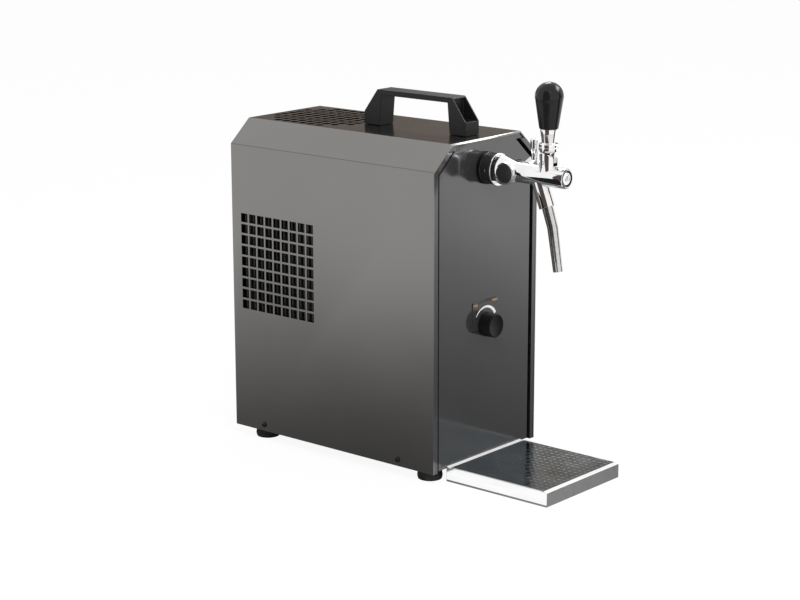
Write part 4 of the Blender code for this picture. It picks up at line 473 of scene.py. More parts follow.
BOLTS = ("handle_bolt_front", "handle_bolt_rear")
SHEET = 1.5
BEND_RADIUS = 1.6
EDGE_SLOPE = 1.9
BAND_Z = COVER_HIGH.z - 8
HEMS_TOP = BAND_Z - 0.3
HEM_INSETS = (1.55, 7.3)
HEM_DEPTHS = (0.2, 10)
LIP_INSETS = (1.0, 2.4)
LIP_DEPTHS = (0.3, 1.4)
ACROSS = (COVER_LOW.x - 2, COVER_HIGH.x + 2)
THROUGH_TOP = (COVER_HIGH.z - 4, COVER_HIGH.z + 2)
VENT_HOLES = 9
VENT_PITCH = 12.6
VENT_HOLE = 10.2
VENT_MIDDLE = (228.5, 210)
TOP_COLUMNS, TOP_ROWS = 9, 10
TOP_PITCH = 12.4
TOP_HOLE_RADIUS = 5.0
TOP_REAR_ROW = COVER_HIGH.y - 12
BOLT_HOLE_RADIUS = 2.8
SCREW_HOLE_RADIUS = 2.1


def cover_body():
    skin = rounded(SKIN, BEND_RADIUS, 5)
    shell = prism(skin + list(reversed(offset_path(skin, SHEET))), "Y", 0, COVER_HIGH.y)
    outer, inner = (mirrored([chamfer_point(inset, HEMS_TOP), corners(inset)[1]]) for inset in LIP_INSETS)
    shell = join(shell, prism(outer + list(reversed(inner)), "Y", *LIP_DEPTHS))
    return cut(shell, edge_wedge(SKIN[1:-1], EDGE_SLOPE))


def edge_wedge(path, size):
    """Cutter that takes the sharp front edge off along a path."""
    mesh = bmesh.new()
    lines = []
    for inset, depth in ((size + 1, -1), (-1, -1), (-1, size + 1)):
        lines.append([mesh.verts.new((x, depth, z)) for x, z in offset_path(path, inset)])
    for line, after in zip(lines, lines[1:] + lines[:1]):
        for i in range(len(line) - 1):
            mesh.faces.new((line[i], line[i + 1], after[i + 1], after[i]))
    for end in (0, -1):
        mesh.faces.new([line[end] for line in lines])
    return mesh


def hems():
    near, far = (side_line(inset, COVER_LOW.z, HEMS_TOP) for inset in HEM_INSETS)
    pair = bmesh.new()
    for sign in (1, -1):
        prism([(sign * x, z) for x, z in near + list(reversed(far))], "Y", *HEM_DEPTHS, pair)
    return pair


def side_vent():
    """Square holes through both sides."""
    holes = bmesh.new()
    steps = [(index - (VENT_HOLES - 1) / 2) * VENT_PITCH for index in range(VENT_HOLES)]
    columns, rows = ([(centre + step - VENT_HOLE / 2, centre + step + VENT_HOLE / 2) for step in steps]
                     for centre in VENT_MIDDLE)
    for along in columns:
        for up in rows:
            box(ACROSS, along, up, holes)
    return holes


def top_holes():
    """Round vent holes in a block without its corners, and the holes of the handle's bolts."""
    holes = bmesh.new()
    for column in range(TOP_COLUMNS):
        for row in range(TOP_ROWS):
            from_corner = min(column, TOP_COLUMNS - 1 - column) + min(row, TOP_ROWS - 1 - row)
            if from_corner >= 2:
                place = ((column - (TOP_COLUMNS - 1) / 2) * TOP_PITCH, TOP_REAR_ROW - row * TOP_PITCH)
                cylinder(TOP_HOLE_RADIUS, "Z", place, *THROUGH_TOP, 28, holes)
    for bolt in BOLTS:
        cylinder(BOLT_HOLE_RADIUS, "Z", (0, middle(bolt).y), *THROUGH_TOP, 20, holes)
    return holes


def screw_holes():
    """Each hole goes through both sides."""
    holes = bmesh.new()
    for corner in ("front_left", "rear_left"):
        cylinder(SCREW_HOLE_RADIUS, "X", side_place("cover_screw_" + corner), *ACROSS, 20, holes)
    return holes


def turned_sideways(face):
    return abs(face.normal.x) > 0.5


def painted_shade_bend_faces(face):
    """Outer faces in the middle of the bend between a side and its chamfer, which take the painted shade."""
    return turned_sideways(face) and abs(face.normal.y) < 0.1 and 0.2 < face.normal.z < 0.6


cover = piece("cover", cut(cover_body(), side_vent(), top_holes(), screw_holes()), "cover",
              replaces=["outer_cover"], bevel=0.25)
# Painted shade: a darker coat on the bend between each side and its chamfer
refinish(cover, "bend", painted_shade_bend_faces)
cover_hems = piece("cover_hems", hems(), "panel", bevel=0.25)
# Painted shade: the hems' side faces take the black foam finish, for the dark depth of the shadow gap
refinish(cover_hems, "foam", turned_sideways)


# Front panel, set back behind a shadow gap

PANEL_LOW, PANEL_HIGH = span("front_panel")
PANEL_BACK = PANEL_LOW.y + SHEET
PANEL_INSET = 11.1
BAND_INSET = 1.8
TAP_AXIS = (0, middle("panel_collar").z)
KNOB_AXIS = (0, middle("thermostat_knob").z)
SHANK_HOLE_RADIUS = 11.4
KNOB_HOLE_RADIUS = 3.6


def front_sheet():
    """Sheet with a flange along its edges and a wider band along its top."""
    rim = mirrored(side_line(PANEL_INSET, PANEL_LOW.z, BAND_Z))
    top = corners(BAND_INSET)[1]
    half = side_line(PANEL_INSET, PANEL_LOW.z, BAND_Z) + [chamfer_point(BAND_INSET, BAND_Z), top]
    depths = (PANEL_BACK - 0.5, PANEL_HIGH.y)
    flange = prism(rim + list(reversed(offset_path(rim, SHEET))), "Y", *depths)
    top_flange = box((top.x, -top.x), depths, (top.y - SHEET, top.y))
    sheet = join(prism(mirrored(half), "Y", PANEL_LOW.y, PANEL_BACK), flange, top_flange)
    return cut(sheet, cylinder(SHANK_HOLE_RADIUS, "Y", TAP_AXIS, -2, 6),
               cylinder(KNOB_HOLE_RADIUS, "Y", KNOB_AXIS, -2, 6))


def on_side_flange(face):
    return turned_sideways(face) and face.center.y > FRONT_Y + PANEL_BACK * MM


panel = piece("front_sheet", front_sheet(), "panel", replaces=["front_panel"],
              bevel=0.45, segments=3)
# Painted light: the side flanges take a lighter, duller finish than the rest of the panel
refinish(panel, "flange", on_side_flange)


# Carry handle, a bridge with hollow ends

HANDLE_LOW, HANDLE_HIGH = span("carry_handle")
SHOULDER_Z = HANDLE_LOW.z + 14.7
SHOULDER_RUN = 19
LEG_FOOT = 22
LEG_HEAD = 25
BAR_THICKNESS = 6
HANDLE_WALL = 2


def grip_bridge():
    end, bottom, top = HANDLE_LOW.y, HANDLE_LOW.z, HANDLE_HIGH.z
    half = [(end + LEG_HEAD, top - BAR_THICKNESS), (end + LEG_FOOT, bottom), (end, bottom),
            (end, SHOULDER_Z), (end + SHOULDER_RUN, top)]
    bridge = prism(mirrored(half, middle("carry_handle").y), "X", HANDLE_LOW.x, HANDLE_HIGH.x)
    ceiling = top - HANDLE_WALL
    pocket = [(-2, SHOULDER_Z), (20, SHOULDER_Z), (20, ceiling), (17.5, ceiling), (15.5, top + 2),
              (-2, top + 2)]
    inside = (HANDLE_LOW.x + HANDLE_WALL, HANDLE_HIGH.x - HANDLE_WALL)
    for bolt, tip, inward in zip(BOLTS, (HANDLE_LOW.y, HANDLE_HIGH.y), (1, -1)):
        hollow = prism([(tip + inward * run, z) for run, z in pocket], "X", *inside)
        place, end_z = (0, middle(bolt).y), span(bolt)[1].z + 0.3
        bridge = cut(bridge, hollow, cylinder(BOLT_HOLE_RADIUS + 0.1, "Z", place, bottom - 2, end_z, 24))
    return bridge


piece("grip_bridge", grip_bridge(), "handle", replaces=["carry_handle"], bevel=0.7,
      segments=3)


# Collar and union of the tap, drawn out from the cover's front plane along the tap's axis

def reach(name):
    """How far out a node starts and ends."""
    low, high = span(name)
    return -high.y, -low.y


def turned(profile, sides=96, closed=False):
    """Round form on the tap's axis, from radii and distances out."""
    return lathe([(radius, -distance) for radius, distance in profile], "Y", TAP_AXIS, sides, closed)


FLANGE_RADIUS = 17.6
COLLAR_RADIUS = 16.9
COLLAR_BACK, COLLAR_END = reach("panel_collar")
UNION_START, UNION_END = reach("coupling_nut")
RIM_END = UNION_START + 1.5
THREAD_RADIUS = 13.0
THREAD_PITCH = 0.8
THREAD_DEPTH = 0.4
SET_SCREW = side_place("collar_set_screw")


def collar():
    profile = [(SHANK_HOLE_RADIUS, COLLAR_BACK), *around(FLANGE_RADIUS, COLLAR_BACK, (-0.4, 0), (0, 0.4)),
               *around(FLANGE_RADIUS, 2.8, (0, -0.4), (-0.4, 0)), (COLLAR_RADIUS, 3.0),
               *around(COLLAR_RADIUS, COLLAR_END, (0, -0.7), (-0.7, 0)), (SHANK_HOLE_RADIUS, COLLAR_END)]
    return cut(turned(profile, closed=True), cylinder(1.5, "X", SET_SCREW, -19, -14.7, 20))


def collar_screw():
    """Short screw with a round recess in its face."""
    face, end = span("collar_set_screw")[0].x, span("collar_set_screw")[1].x
    head = [*around(0, face, (0, 0.3), (0.5, 0.3), (0.6, 0), (1.1, 0), (1.2, 0.2)), (1.2, end), (0, end)]
    return lathe(head, "X", SET_SCREW, 24)


def union_rim():
    inner = THREAD_RADIUS + 0.4
    profile = [(inner, UNION_START), *around(FLANGE_RADIUS, UNION_START, (-0.4, 0), (0, 0.3)),
               *around(FLANGE_RADIUS, RIM_END, (0, -0.3), (-0.3, 0)), (inner, RIM_END)]
    return turned(profile, closed=True)


def union_thread():
    root = THREAD_RADIUS + 0.1
    profile = [(SHANK_HOLE_RADIUS, UNION_START), (root, UNION_START), (root, RIM_END)]
    for turn in range(4):
        crest = RIM_END + (turn + 0.5) * THREAD_PITCH
        profile += [(THREAD_RADIUS, crest), (THREAD_RADIUS - THREAD_DEPTH, crest + THREAD_PITCH / 2)]
    profile += [(THREAD_RADIUS, RIM_END + 4.5 * THREAD_PITCH), (THREAD_RADIUS, UNION_END),
                (SHANK_HOLE_RADIUS, UNION_END)]
    return turned(profile, closed=True)


def on_collar_flange(face):
    return face.center.y > FRONT_Y - 2.9 * MM


panel_collar = piece("collar", collar(), "collar", replaces=["panel_collar"])
refinish(panel_collar, "knob", on_collar_flange)
piece("collar_screw", collar_screw(), "chrome", replaces=["collar_set_screw"])
piece("union_rim", union_rim(), "chrome", replaces=["coupling_nut"])
piece("union_thread", union_thread(), "enamel")


# Tap body, a barrel with a cross boss and a knuckle for the lever

BODY_START, NOSE = reach("tap_body")
BARREL_RADIUS = 10.8
BOSS_RADIUS = 11.8
BOSS_REACH = 14.2
BOSS = side_place("body_cap")
PIVOT = side_place("lever_pin")
KNUCKLE_RADIUS = 9.8
DOME_RADIUS = 10.0
DOME_TOP = PIVOT[1] + DOME_RADIUS
SLOT_HALF = 3.6
PIN_HOLE_RADIUS = 1.9
VALVE_BORE = 8.7
FLOW_BORE = 5
BORE_STEP = 45
CAP_RADIUS = 9.8
CAP_FACE, CAP_BACK = span("body_cap")[0].x, span("body_cap")[1].x
STEM_RADIUS = 3
PLUG_START = reach("nose_plug")[0]
SPOUT_TOP = Vector((0, -69.5, 333.5))
SPOUT_RUNS = ((-11.54, -29.31), (-7.11, -21.24), (-7.81, -46.15))
SPOUT_BORE = 4.5
SOCKET_RADIUS, SOCKET_DEPTH = 3.5, 6.5


def spout_line():
    """Start, bends and end of the spout; each run goes forward and down."""
    points = [SPOUT_TOP]
    for forward, down in SPOUT_RUNS:
        points.append(points[-1] + Vector((0, forward, down)))
    return points


SPOUT_LINE = spout_line()


def barrel():
    """Flared behind the union, straight to the nose."""
    flare = around(0, BODY_START, (0, 0), (11, 0), (11, 1.6), (15.3, 1.6), (15.7, 2.0), (15.5, 3.2),
                   (14.3, 7.5), (12.7, 12.5), (11.5, 16.5), (10.9, 19.5), (BARREL_RADIUS, 22))
    return turned([*flare, *around(BARREL_RADIUS, NOSE, (0, -1), (-0.3, -0.3), (-0.9, 0)), (0, NOSE)])


def cross_boss():
    half = [*around(BOSS_RADIUS, BOSS_REACH, (0, -0.6), (-0.2, -0.2), (-0.6, 0)), (0, BOSS_REACH)]
    return lathe([(radius, -x) for radius, x in reversed(half)] + half, "X", BOSS, 96)


def dome_cutter():
    """Everything above a half round over the pin."""
    turns = [math.pi * (1 - i / 24) for i in range(25)]
    arc = around(*PIVOT, *((DOME_RADIUS * math.cos(turn), DOME_RADIUS * math.sin(turn)) for turn in turns))
    arc += around(*PIVOT, (DOME_RADIUS, DOME_RADIUS + 2), (-DOME_RADIUS, DOME_RADIUS + 2))
    return prism(arc, "X", -KNUCKLE_RADIUS - 1.7, KNUCKLE_RADIUS + 1.7)


def lever_slot():
    """Slot for the lever's tongue, wider in the knuckle's upper part."""
    half = [(PIVOT[0] - 6.8, TAP_AXIS[1])]
    half += around(*PIVOT, (-6.8, -4.4), (-12, -4.4), (-12, DOME_RADIUS + 2))
    return prism(mirrored(half, PIVOT[0]), "X", -SLOT_HALF, SLOT_HALF)


def tap_body():
    knuckle = cylinder(KNUCKLE_RADIUS, "Z", (0, PIVOT[0]), TAP_AXIS[1], DOME_TOP, 96)
    body = cut(join(barrel(), cross_boss(), knuckle), dome_cutter())
    bores = [(0, NOSE + 2), (VALVE_BORE, NOSE + 2), (VALVE_BORE, BORE_STEP), (FLOW_BORE, BORE_STEP),
             (FLOW_BORE, BODY_START - 2), (0, BODY_START - 2)]
    body = cut(body, turned(bores, 64), lever_slot(), cylinder(PIN_HOLE_RADIUS, "X", PIVOT, -12, 12, 24))
    cap_seat = cylinder(CAP_RADIUS + 0.4, "X", BOSS, -17, CAP_BACK + 0.3, 64)
    stem_bore = cylinder(STEM_RADIUS + 0.3, "X", BOSS, 0, 17, 32)
    return cut(body, cap_seat, stem_bore, tube(SPOUT_LINE[:2], (SPOUT_BORE, SPOUT_BORE), 32))


def barrel_cap():
    profile = [(0, CAP_BACK), (CAP_RADIUS, CAP_BACK),
               *around(CAP_RADIUS, CAP_FACE, (0, 0.5), (-0.3, 0.1), (-0.9, 0)), (0, CAP_FACE)]
    return lathe(profile, "X", BOSS, 96)


def end_plug():
    """Plug in the nose with a hexagon socket."""
    profile = [(0, PLUG_START), (8.3, PLUG_START)]
    profile += around(0, NOSE, (8.3, -2.8), (6.7, -2.7), (6.7, -1.1), (6.4, -0.8), (5.0, -0.8), (4.7, -1.3),
                      (0, -1.3))
    return cut(turned(profile), cylinder(SOCKET_RADIUS, "Y", TAP_AXIS, -NOSE, SOCKET_DEPTH - NOSE, 6))


def bore_shade_ring():
    """Black ring with a chamfered section round the plug's face, painted shade for the dark gap between the
    plug and the bore.
    """
    inner, outer, back, front = 6.8, 8.6, NOSE - 2.6, NOSE - 0.6
    profile = [*around(inner, back, (0, 0.3), (0.3, 0)), *around(outer, back, (-0.3, 0), (0, 0.3)),
               *around(outer, front, (0, -0.3), (-0.3, 0)), *around(inner, front, (0.3, 0), (0, -0.3))]
    return turned(profile, closed=True)


piece("tap_barrel", tap_body(), "chrome", replaces=["tap_body"])
piece("barrel_cap", barrel_cap(), "cap", replaces=["body_cap"])
# Painted shade: a black rubber ring in the dark gap round the plug
piece("bore_shade_ring", bore_shade_ring(), "rubber")
piece("end_plug", end_plug(), "chrome", replaces=["nose_plug"])


# Lever with its grip

RING_Z = DOME_TOP + 0.4
GRIP_Z = span("tap_handle")[0].z
STUD_RADIUS = 3.5
GRIP_BALL = 15.3


def lever():
    """Turned ring, neck and stud over a flat tongue that swings in the slot."""
    profile = around(0, RING_Z, (0, 0), (9.7, 0), (10.2, 0.3), (10.4, 0.8), (10.4, 4.8), (10.0, 5.2),
                     (10.0, 5.6), (10.4, 6.0), (10.4, 8.6), (10.0, 9.1), (9.2, 9.4), (7.5, 9.4), (7.2, 9.8),
                     (7.5, 12.6), (8.4, 18.8), (9.2, 23.9), (9.1, 24.3), (STUD_RADIUS, 24.3),
                     (STUD_RADIUS, 37.3), (0, 37.3))
    shape = lathe(profile, "Z", (0, PIVOT[0]))
    half = [(PIVOT[0] - 4, RING_Z + 0.5), *around(*PIVOT, (-4, -4.3), (-2.5, -6.8)),
            (PIVOT[0] - 2.5, span("tap_lever")[0].z)]
    shape = join(shape, prism(mirrored(half, PIVOT[0]), "X", 0.6 - SLOT_HALF, SLOT_HALF - 0.6))
    return cut(shape, cylinder(PIN_HOLE_RADIUS - 0.25, "X", PIVOT, -5, 5, 24))


def lever_grip():
    """Tapered grip with a ball end, on the lever's stud."""
    hole = STUD_RADIUS + 0.3
    profile = around(0, GRIP_Z, (0, 13.0), (hole, 13.0), (hole, 0), (9.6, 0), (10.2, 0.5), (10.35, 1.6),
                     (11.6, 9.4), (13.0, 18.4), (14.1, 25.4), (14.9, 30.8))
    ball_z = span("tap_handle")[1].z - GRIP_BALL
    for step in range(16):
        turn = math.radians(-8 + 98 * step / 16)
        profile.append((GRIP_BALL * math.cos(turn), ball_z + GRIP_BALL * math.sin(turn)))
    profile.append((0, ball_z + GRIP_BALL))
    return lathe(profile, "Z", (0, PIVOT[0]))


piece("lever", lever(), "chrome", "tap_lever", ["tap_lever"])
piece("lever_grip", lever_grip(), "gloss", "tap_lever", ["tap_handle"])


# Compensator lever on the right end of the cross boss

HUB_RADIUS = 8
HUB_NEAR, HUB_FAR = 14.5, 18.5
ARM_RUN = Vector((-14.7, 12.5))
ARM_HALF_WIDTH = 4.25
TAB_X = 18.7


def flow_lever():
    """Hub on a stem, an arm and an upright tab."""
    stem_end = span("compensator_lever")[0].x
    profile = [(0, stem_end), (STEM_RADIUS, stem_end), (STEM_RADIUS, HUB_NEAR),
               *around(HUB_RADIUS, HUB_NEAR, (-0.3, 0), (0, 0.3)),
               *around(HUB_RADIUS, HUB_FAR, (0, -0.5), (-0.5, 0)),
               *around(0, HUB_FAR, (3.2, 0), (2.8, -0.4), (0, -0.4))]
    start = Vector(BOSS)
    end = start + ARM_RUN
    side = Vector((ARM_RUN.y, -ARM_RUN.x)).normalized() * ARM_HALF_WIDTH
    arm = [start + side, end + side * 0.9, end - side * 0.9, start - side]
    tab = around(0, end.y, (0, -4.2), (2.4, -4.2), (3.4, -3.2), (4.2, -0.5), (4.0, 1.5), (3.1, 4.1),
                 (2.8, 6.2), (3.1, 8.0), (3.9, 10.2), (4.2, 12.6), (4.2, 19.7), (3.9, 21.5), (3.0, 22.5),
                 (2.0, 22.8), (0, 22.8))
    return join(lathe(profile, "X", BOSS, 64), prism(arm, "X", HUB_NEAR + 0.3, HUB_FAR - 0.3),
                lathe(tab, "Z", (TAB_X, end.x), 48))


piece("flow_lever", flow_lever(), "chrome", "compensator_lever", ["compensator_lever"])


# Spout, a sleeve on the barrel and a tube that bends and tapers

SLEEVE_RADIUS, SLEEVE_WALL = 9.1, 2.2
TUBE_RADIUS, TUBE_WALL, TUBE_TAPER = 6.2, 0.8, 0.9
TUBE_BEND = 9.0


def under_barrel():
    """Cutter that fits the spout's upper end to the barrel."""
    return cylinder(BARREL_RADIUS + 0.3, "Y", TAP_AXIS, -NOSE - 2, -39, 96)


def pour_tube():
    line = [(0, y, z) for y, z in rounded([(p.y, p.z) for p in SPOUT_LINE], TUBE_BEND, 8)]
    lengths = [0]
    for before, after in zip(line, line[1:]):
        lengths.append(lengths[-1] + (Vector(after) - Vector(before)).length)
    straight = Vector(SPOUT_RUNS[0]).length
    taper = TUBE_TAPER / (lengths[-1] - straight)
    radii = [TUBE_RADIUS - taper * max(0.0, length - straight) for length in lengths]
    return tube(line, radii, 64, TUBE_WALL)


sleeve = tube(SPOUT_LINE[:2], (SLEEVE_RADIUS, SLEEVE_RADIUS), 72, SLEEVE_WALL)
piece("spout_shroud", cut(sleeve, under_barrel()), "chrome", replaces=["spout_sleeve"],
      bevel=0.3)
piece("spout", cut(pour_tube(), under_barrel()), "stainless", replaces=["spout_tube"])


# Thermostat scale and knob

PLATE_LOW, PLATE_HIGH = span("scale_plate")
PRINT_DEPTHS = (PLATE_LOW.y - 0.06, PLATE_LOW.y + 0.01)
KNOB_FACE, STEM_END = span("thermostat_knob")[0].y, span("thermostat_knob")[1].y
KNOB_RADIUS = 13.4
GROOVES = 40
GROOVE_RADIUS = 0.35
CRESCENT_RADIUS = 19.4
CRESCENT_STEPS = 32
WORD_SIZE = 4.2


def scale():
    bottom, top = PLATE_LOW.z, PLATE_HIGH.z
    half = rounded([(0, bottom), (PLATE_LOW.x, bottom), (PLATE_LOW.x, top), (0, top)], 2.0, 5)
    plate = prism(mirrored(half[1:-1]), "Y", PLATE_LOW.y, PLATE_HIGH.y)
    return cut(plate, cylinder(KNOB_HOLE_RADIUS, "Y", KNOB_AXIS, -3, 4, 32))


def knob():
    """Round knob on a stem, with a skirt, fine grooves and a sunk face."""
    face = around(KNOB_RADIUS, KNOB_FACE, (-0.3, 1.0), (-0.6, 0.3), (-1.3, 0), (-2.1, 0), (-2.4, 0.2))
    skirt = around(KNOB_RADIUS, 0, (-0.4, 0.4), (0, 0), (0, -2.0))
    profile = [(0, STEM_END), (3, STEM_END), (3, 0.4), *skirt, *face, (0, KNOB_FACE + 0.2)]
    shape = lathe(profile, "Y", KNOB_AXIS)
    grooves = bmesh.new()
    ring = KNOB_RADIUS + 0.1
    for index in range(GROOVES):
        turn = math.tau * index / GROOVES
        place = (ring * math.cos(turn), KNOB_AXIS[1] + ring * math.sin(turn))
        cylinder(GROOVE_RADIUS, "Y", place, KNOB_FACE - 0.4, -2.4, 8, grooves)
    return cut(shape, grooves)


def crescent():
    """Arc over the knob that grows wider from left to right."""
    outer, inner = [], []
    for step in range(CRESCENT_STEPS + 1):
        share = step / CRESCENT_STEPS
        turn = math.radians(148 - 118 * share)
        half = 0.3 + 1.5 * share ** 0.8
        for line, radius in ((outer, CRESCENT_RADIUS + half), (inner, CRESCENT_RADIUS - half)):
            line.append((radius * math.cos(turn), KNOB_AXIS[1] + radius * math.sin(turn)))
    return prism(outer + list(reversed(inner)), "Y", *PRINT_DEPTHS)


def word(text, x, z):
    """Printed word as a mesh, standing on the plate's front."""
    curve = bpy.data.curves.new(text, "FONT")
    curve.body = text
    curve.size = WORD_SIZE
    curve.extrude = 0.03
    curve.align_x = "CENTER"
    curve.align_y = "CENTER"
    shape = add(text, curve)
    mesh = evaluated_mesh(shape)
    upright = Matrix.Rotation(math.pi / 2, 4, "X")
    mesh.transform(Matrix.Translation((x, PLATE_LOW.y - 0.04, z)) @ upright)
    bpy.data.objects.remove(shape, do_unlink=True)
    return mesh


piece("scale", scale(), "panel", replaces=["scale_plate"], bevel=0.15)
piece("knob", knob(), "knob", "thermostat_knob", ["thermostat_knob"])
piece("scale_crescent", crescent(), "white_print")
scale_line = box((-12.8, 9.5), PRINT_DEPTHS, (PLATE_HIGH.z - 1.5, PLATE_HIGH.z - 0.5))
piece("scale_line", scale_line, "black_print")
for text, x, drop in (("MIN", PLATE_LOW.x + 4.6, 3.7), ("MAX", PLATE_HIGH.x - 5.6, 2.4)):
    letters = word(text, x, PLATE_HIGH.z - drop)
    piece("scale_" + text.lower(), letters, "amber", smooth=False)


# Feet and screws

FOOT_RADIUS = 14
FOOT_TOP = span("foot_front_left")[1].z
SCREW_FACE, SCREW_END = span("cover_screw_front_right")[1].x, span("cover_screw_front_right")[0].x
SCREW_SEAT = COVER_HIGH.x + 0.3
HEAD_RADIUS = 3.3
SCREW_RADIUS = 1.8


def foot(place):
    """Turned foot with a flared base, and a spigot in the pan's hole."""
    shoulder = FOOT_TOP - 1.5
    profile = [(0, 1.0), (4, 1.0), (4.5, 0),
               *around(FOOT_RADIUS, 0, (-1.4, 0), (-0.8, 0.4), (0, 3.5), (0, 4.5)),
               *around(FOOT_RADIUS, shoulder, (-1.2, -1.6), (-1.7, 0)), (3, shoulder), (3, FOOT_TOP),
               (0, FOOT_TOP)]
    return lathe(profile, "Z", (place.x, place.y), 64)


def cover_screw(place):
    """Domed screw with a crossed recess, on the side that its place is on."""
    sign = math.copysign(1, place.x)
    head = [*around(0, SCREW_FACE, (0, 0), (1.2, -0.02), (2.2, -0.3), (3.0, -0.9), (HEAD_RADIUS, -1.4)),
            (HEAD_RADIUS, SCREW_SEAT), (SCREW_RADIUS, SCREW_SEAT), (SCREW_RADIUS, SCREW_END), (0, SCREW_END)]
    shape = lathe([(radius, sign * x) for radius, x in head], "X", (place.y, place.z), 40)
    depths = sorted((sign * (SCREW_FACE - 1.1), sign * (SCREW_FACE + 0.9)))
    for wide, high in ((0.35, 1.6), (1.6, 0.35)):
        slot = box(depths, (place.y - wide, place.y + wide), (place.z - high, place.z + high))
        shape = cut(shape, slot)
    return shape


for corner in CORNERS:
    old = "foot_" + corner
    piece("pad_" + corner, foot(middle(old)), "rubber", replaces=[old])
    old = "cover_screw_" + corner
    piece("screw_" + corner, cover_screw(middle(old)), "screw", replaces=[old])


# Drip tray and its grid

TRAY_LOW, TRAY_HIGH = span("drip_tray")
TRAY_WALL = 1.5
TRAY_LEDGE = 5
LEDGE_DROP = 1.4
NOTCH = 1.2
GRID_LOW, GRID_HIGH = span("drip_grid")
GRID_PITCH = 7.5
GRID_HOLE_RADIUS = 0.9
GRID_LIP_RADIUS = 1.6
GRID_LIP_RISE = 0.07
GRID_SHEET = (GRID_HIGH.z - 1.0, GRID_HIGH.z - 0.2)
HOLE_SIDES = 16


def tray():
    """Open box with sloping rims in front and behind, and a notch at each corner."""
    x, front, back, top = TRAY_HIGH.x, TRAY_LOW.y, TRAY_HIGH.y, TRAY_HIGH.z
    ledge, end, rim, level = front + TRAY_LEDGE, back - TRAY_LEDGE, top - LEDGE_DROP, top - 0.1
    section = [(front, 0), (front, rim), (ledge, level), (end, level), (end, rim), (back, top), (back, 0)]
    shape = prism(section, "X", -x, x)
    shape = cut(shape, box((TRAY_WALL - x, x - TRAY_WALL), (ledge, end), (TRAY_WALL, top + 3)))
    notches = bmesh.new()
    for left in (-x, x - TRAY_WALL):
        for place in (ledge, end - NOTCH):
            box((left - 0.5, left + 2.0), (place, place + NOTCH), (rim, top + 3), notches)
    return cut(shape, notches)


def perforated_cell(mesh, centre, size, low, high):
    """Square cell with a round hole whose edge is pressed up."""
    square, rim, lip_top, lip_low = [], [], [], []
    for i in range(HOLE_SIDES):
        turn = math.tau * i / HOLE_SIDES
        away = Vector((math.cos(turn), math.sin(turn)))
        stretch = max(abs(away.x), abs(away.y))
        corner = (centre[0] + away.x / stretch * size[0] / 2, centre[1] + away.y / stretch * size[1] / 2)
        square.append((mesh.verts.new((*corner, high)), mesh.verts.new((*corner, low))))
        rim.append(mesh.verts.new((*(Vector(centre) + away * GRID_LIP_RADIUS), high)))
        hole = Vector(centre) + away * GRID_HOLE_RADIUS
        lip_top.append(mesh.verts.new((*hole, high + GRID_LIP_RISE)))
        lip_low.append(mesh.verts.new((*hole, low)))
    for i in range(HOLE_SIDES):
        j = (i + 1) % HOLE_SIDES
        mesh.faces.new((square[i][0], square[j][0], rim[j], rim[i]))
        mesh.faces.new((rim[i], rim[j], lip_top[j], lip_top[i]))
        mesh.faces.new((lip_top[i], lip_top[j], lip_low[j], lip_low[i]))
        mesh.faces.new((lip_low[i], lip_low[j], square[j][1], square[i][1]))


def grid_sheet():
    mesh = bmesh.new()
    wide, deep = GRID_HIGH.x - GRID_LOW.x, GRID_HIGH.y - GRID_LOW.y
    columns, rows = round(wide / GRID_PITCH), round(deep / GRID_PITCH)
    size = (wide / columns, deep / rows)
    for column in range(columns):
        for row in range(rows):
            centre = (GRID_LOW.x + (column + 0.5) * size[0], GRID_LOW.y + (row + 0.5) * size[1])
            perforated_cell(mesh, centre, size, *GRID_SHEET)
    bmesh.ops.remove_doubles(mesh, verts=mesh.verts, dist=0.001)
    bmesh.ops.bridge_loops(mesh, edges=[edge for edge in mesh.edges if len(edge.link_faces) == 1])
    return mesh


def on_tray_rim(face):
    return face.normal.z > 0.8 and face.center.z / MM > TRAY_HIGH.z - 1.6


drip_tray = piece("tray", tray(), "tray", "drip_tray", ["drip_tray"], bevel=0.4, segments=3)
refinish(drip_tray, "rim", on_tray_rim)
piece("grid_sheet", grid_sheet(), "grid", "drip_grid", ["drip_grid"], angle=30)
for side, edge in (("left", (GRID_LOW.x, GRID_LOW.x + 1)), ("right", (GRID_HIGH.x - 1, GRID_HIGH.x))):
    skirt = box(edge, (GRID_LOW.y, GRID_HIGH.y), (GRID_LOW.z, GRID_SHEET[0] - 0.01))
    piece("grid_skirt_" + side, skirt, "grid", "drip_grid", bevel=0.2)


# CAD nodes that stay, with their finishes

FINISHES = {
    "rubber": ["compressor_mount_" + corner for corner in CORNERS],
    "foam": ["front_seal"],
    "block_foam": ["insulation_box", "insulation_lid"],
    "cover": ["rear_panel"],
    "zinc": ["base_pan", "fan_shroud", "fan_bracket", "shank_nut", *BOLTS],
    "stainless": ["tap_shank", "valve_spindle", "lever_pin"],
    "aluminium": ["cooling_block"],
    "fins": ["condenser"],
    "enamel": ["compressor", "fan_motor"],
    "copper": ["suction_tube", "discharge_tube", "filter_drier"],
    "milky": ["beer_line_in", "beer_line_out"],
    "white": ["beer_inlet_fitting", "thermostat_body", "compensator_cone"],
    "handle": ["power_inlet", "switch_housing", "inlet_collet", "fan_blade"],
    "gloss": ["switch_rocker"],
}
for finish, names in FINISHES.items():
    for name in names:
        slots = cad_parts[name].data.materials
        slots.clear()
        slots.append(MATERIALS[finish])


# Camera fitted to the photograph

YAW, PITCH, ROLL = math.radians(49.575), math.radians(13.623), math.radians(-0.107)
FOCAL_PIXELS = 2079.2
IMAGE_WIDTH = 800
SENSOR = 36
EYE = Vector((-1.73897, FRONT_Y - 1.35775, 0.72547))


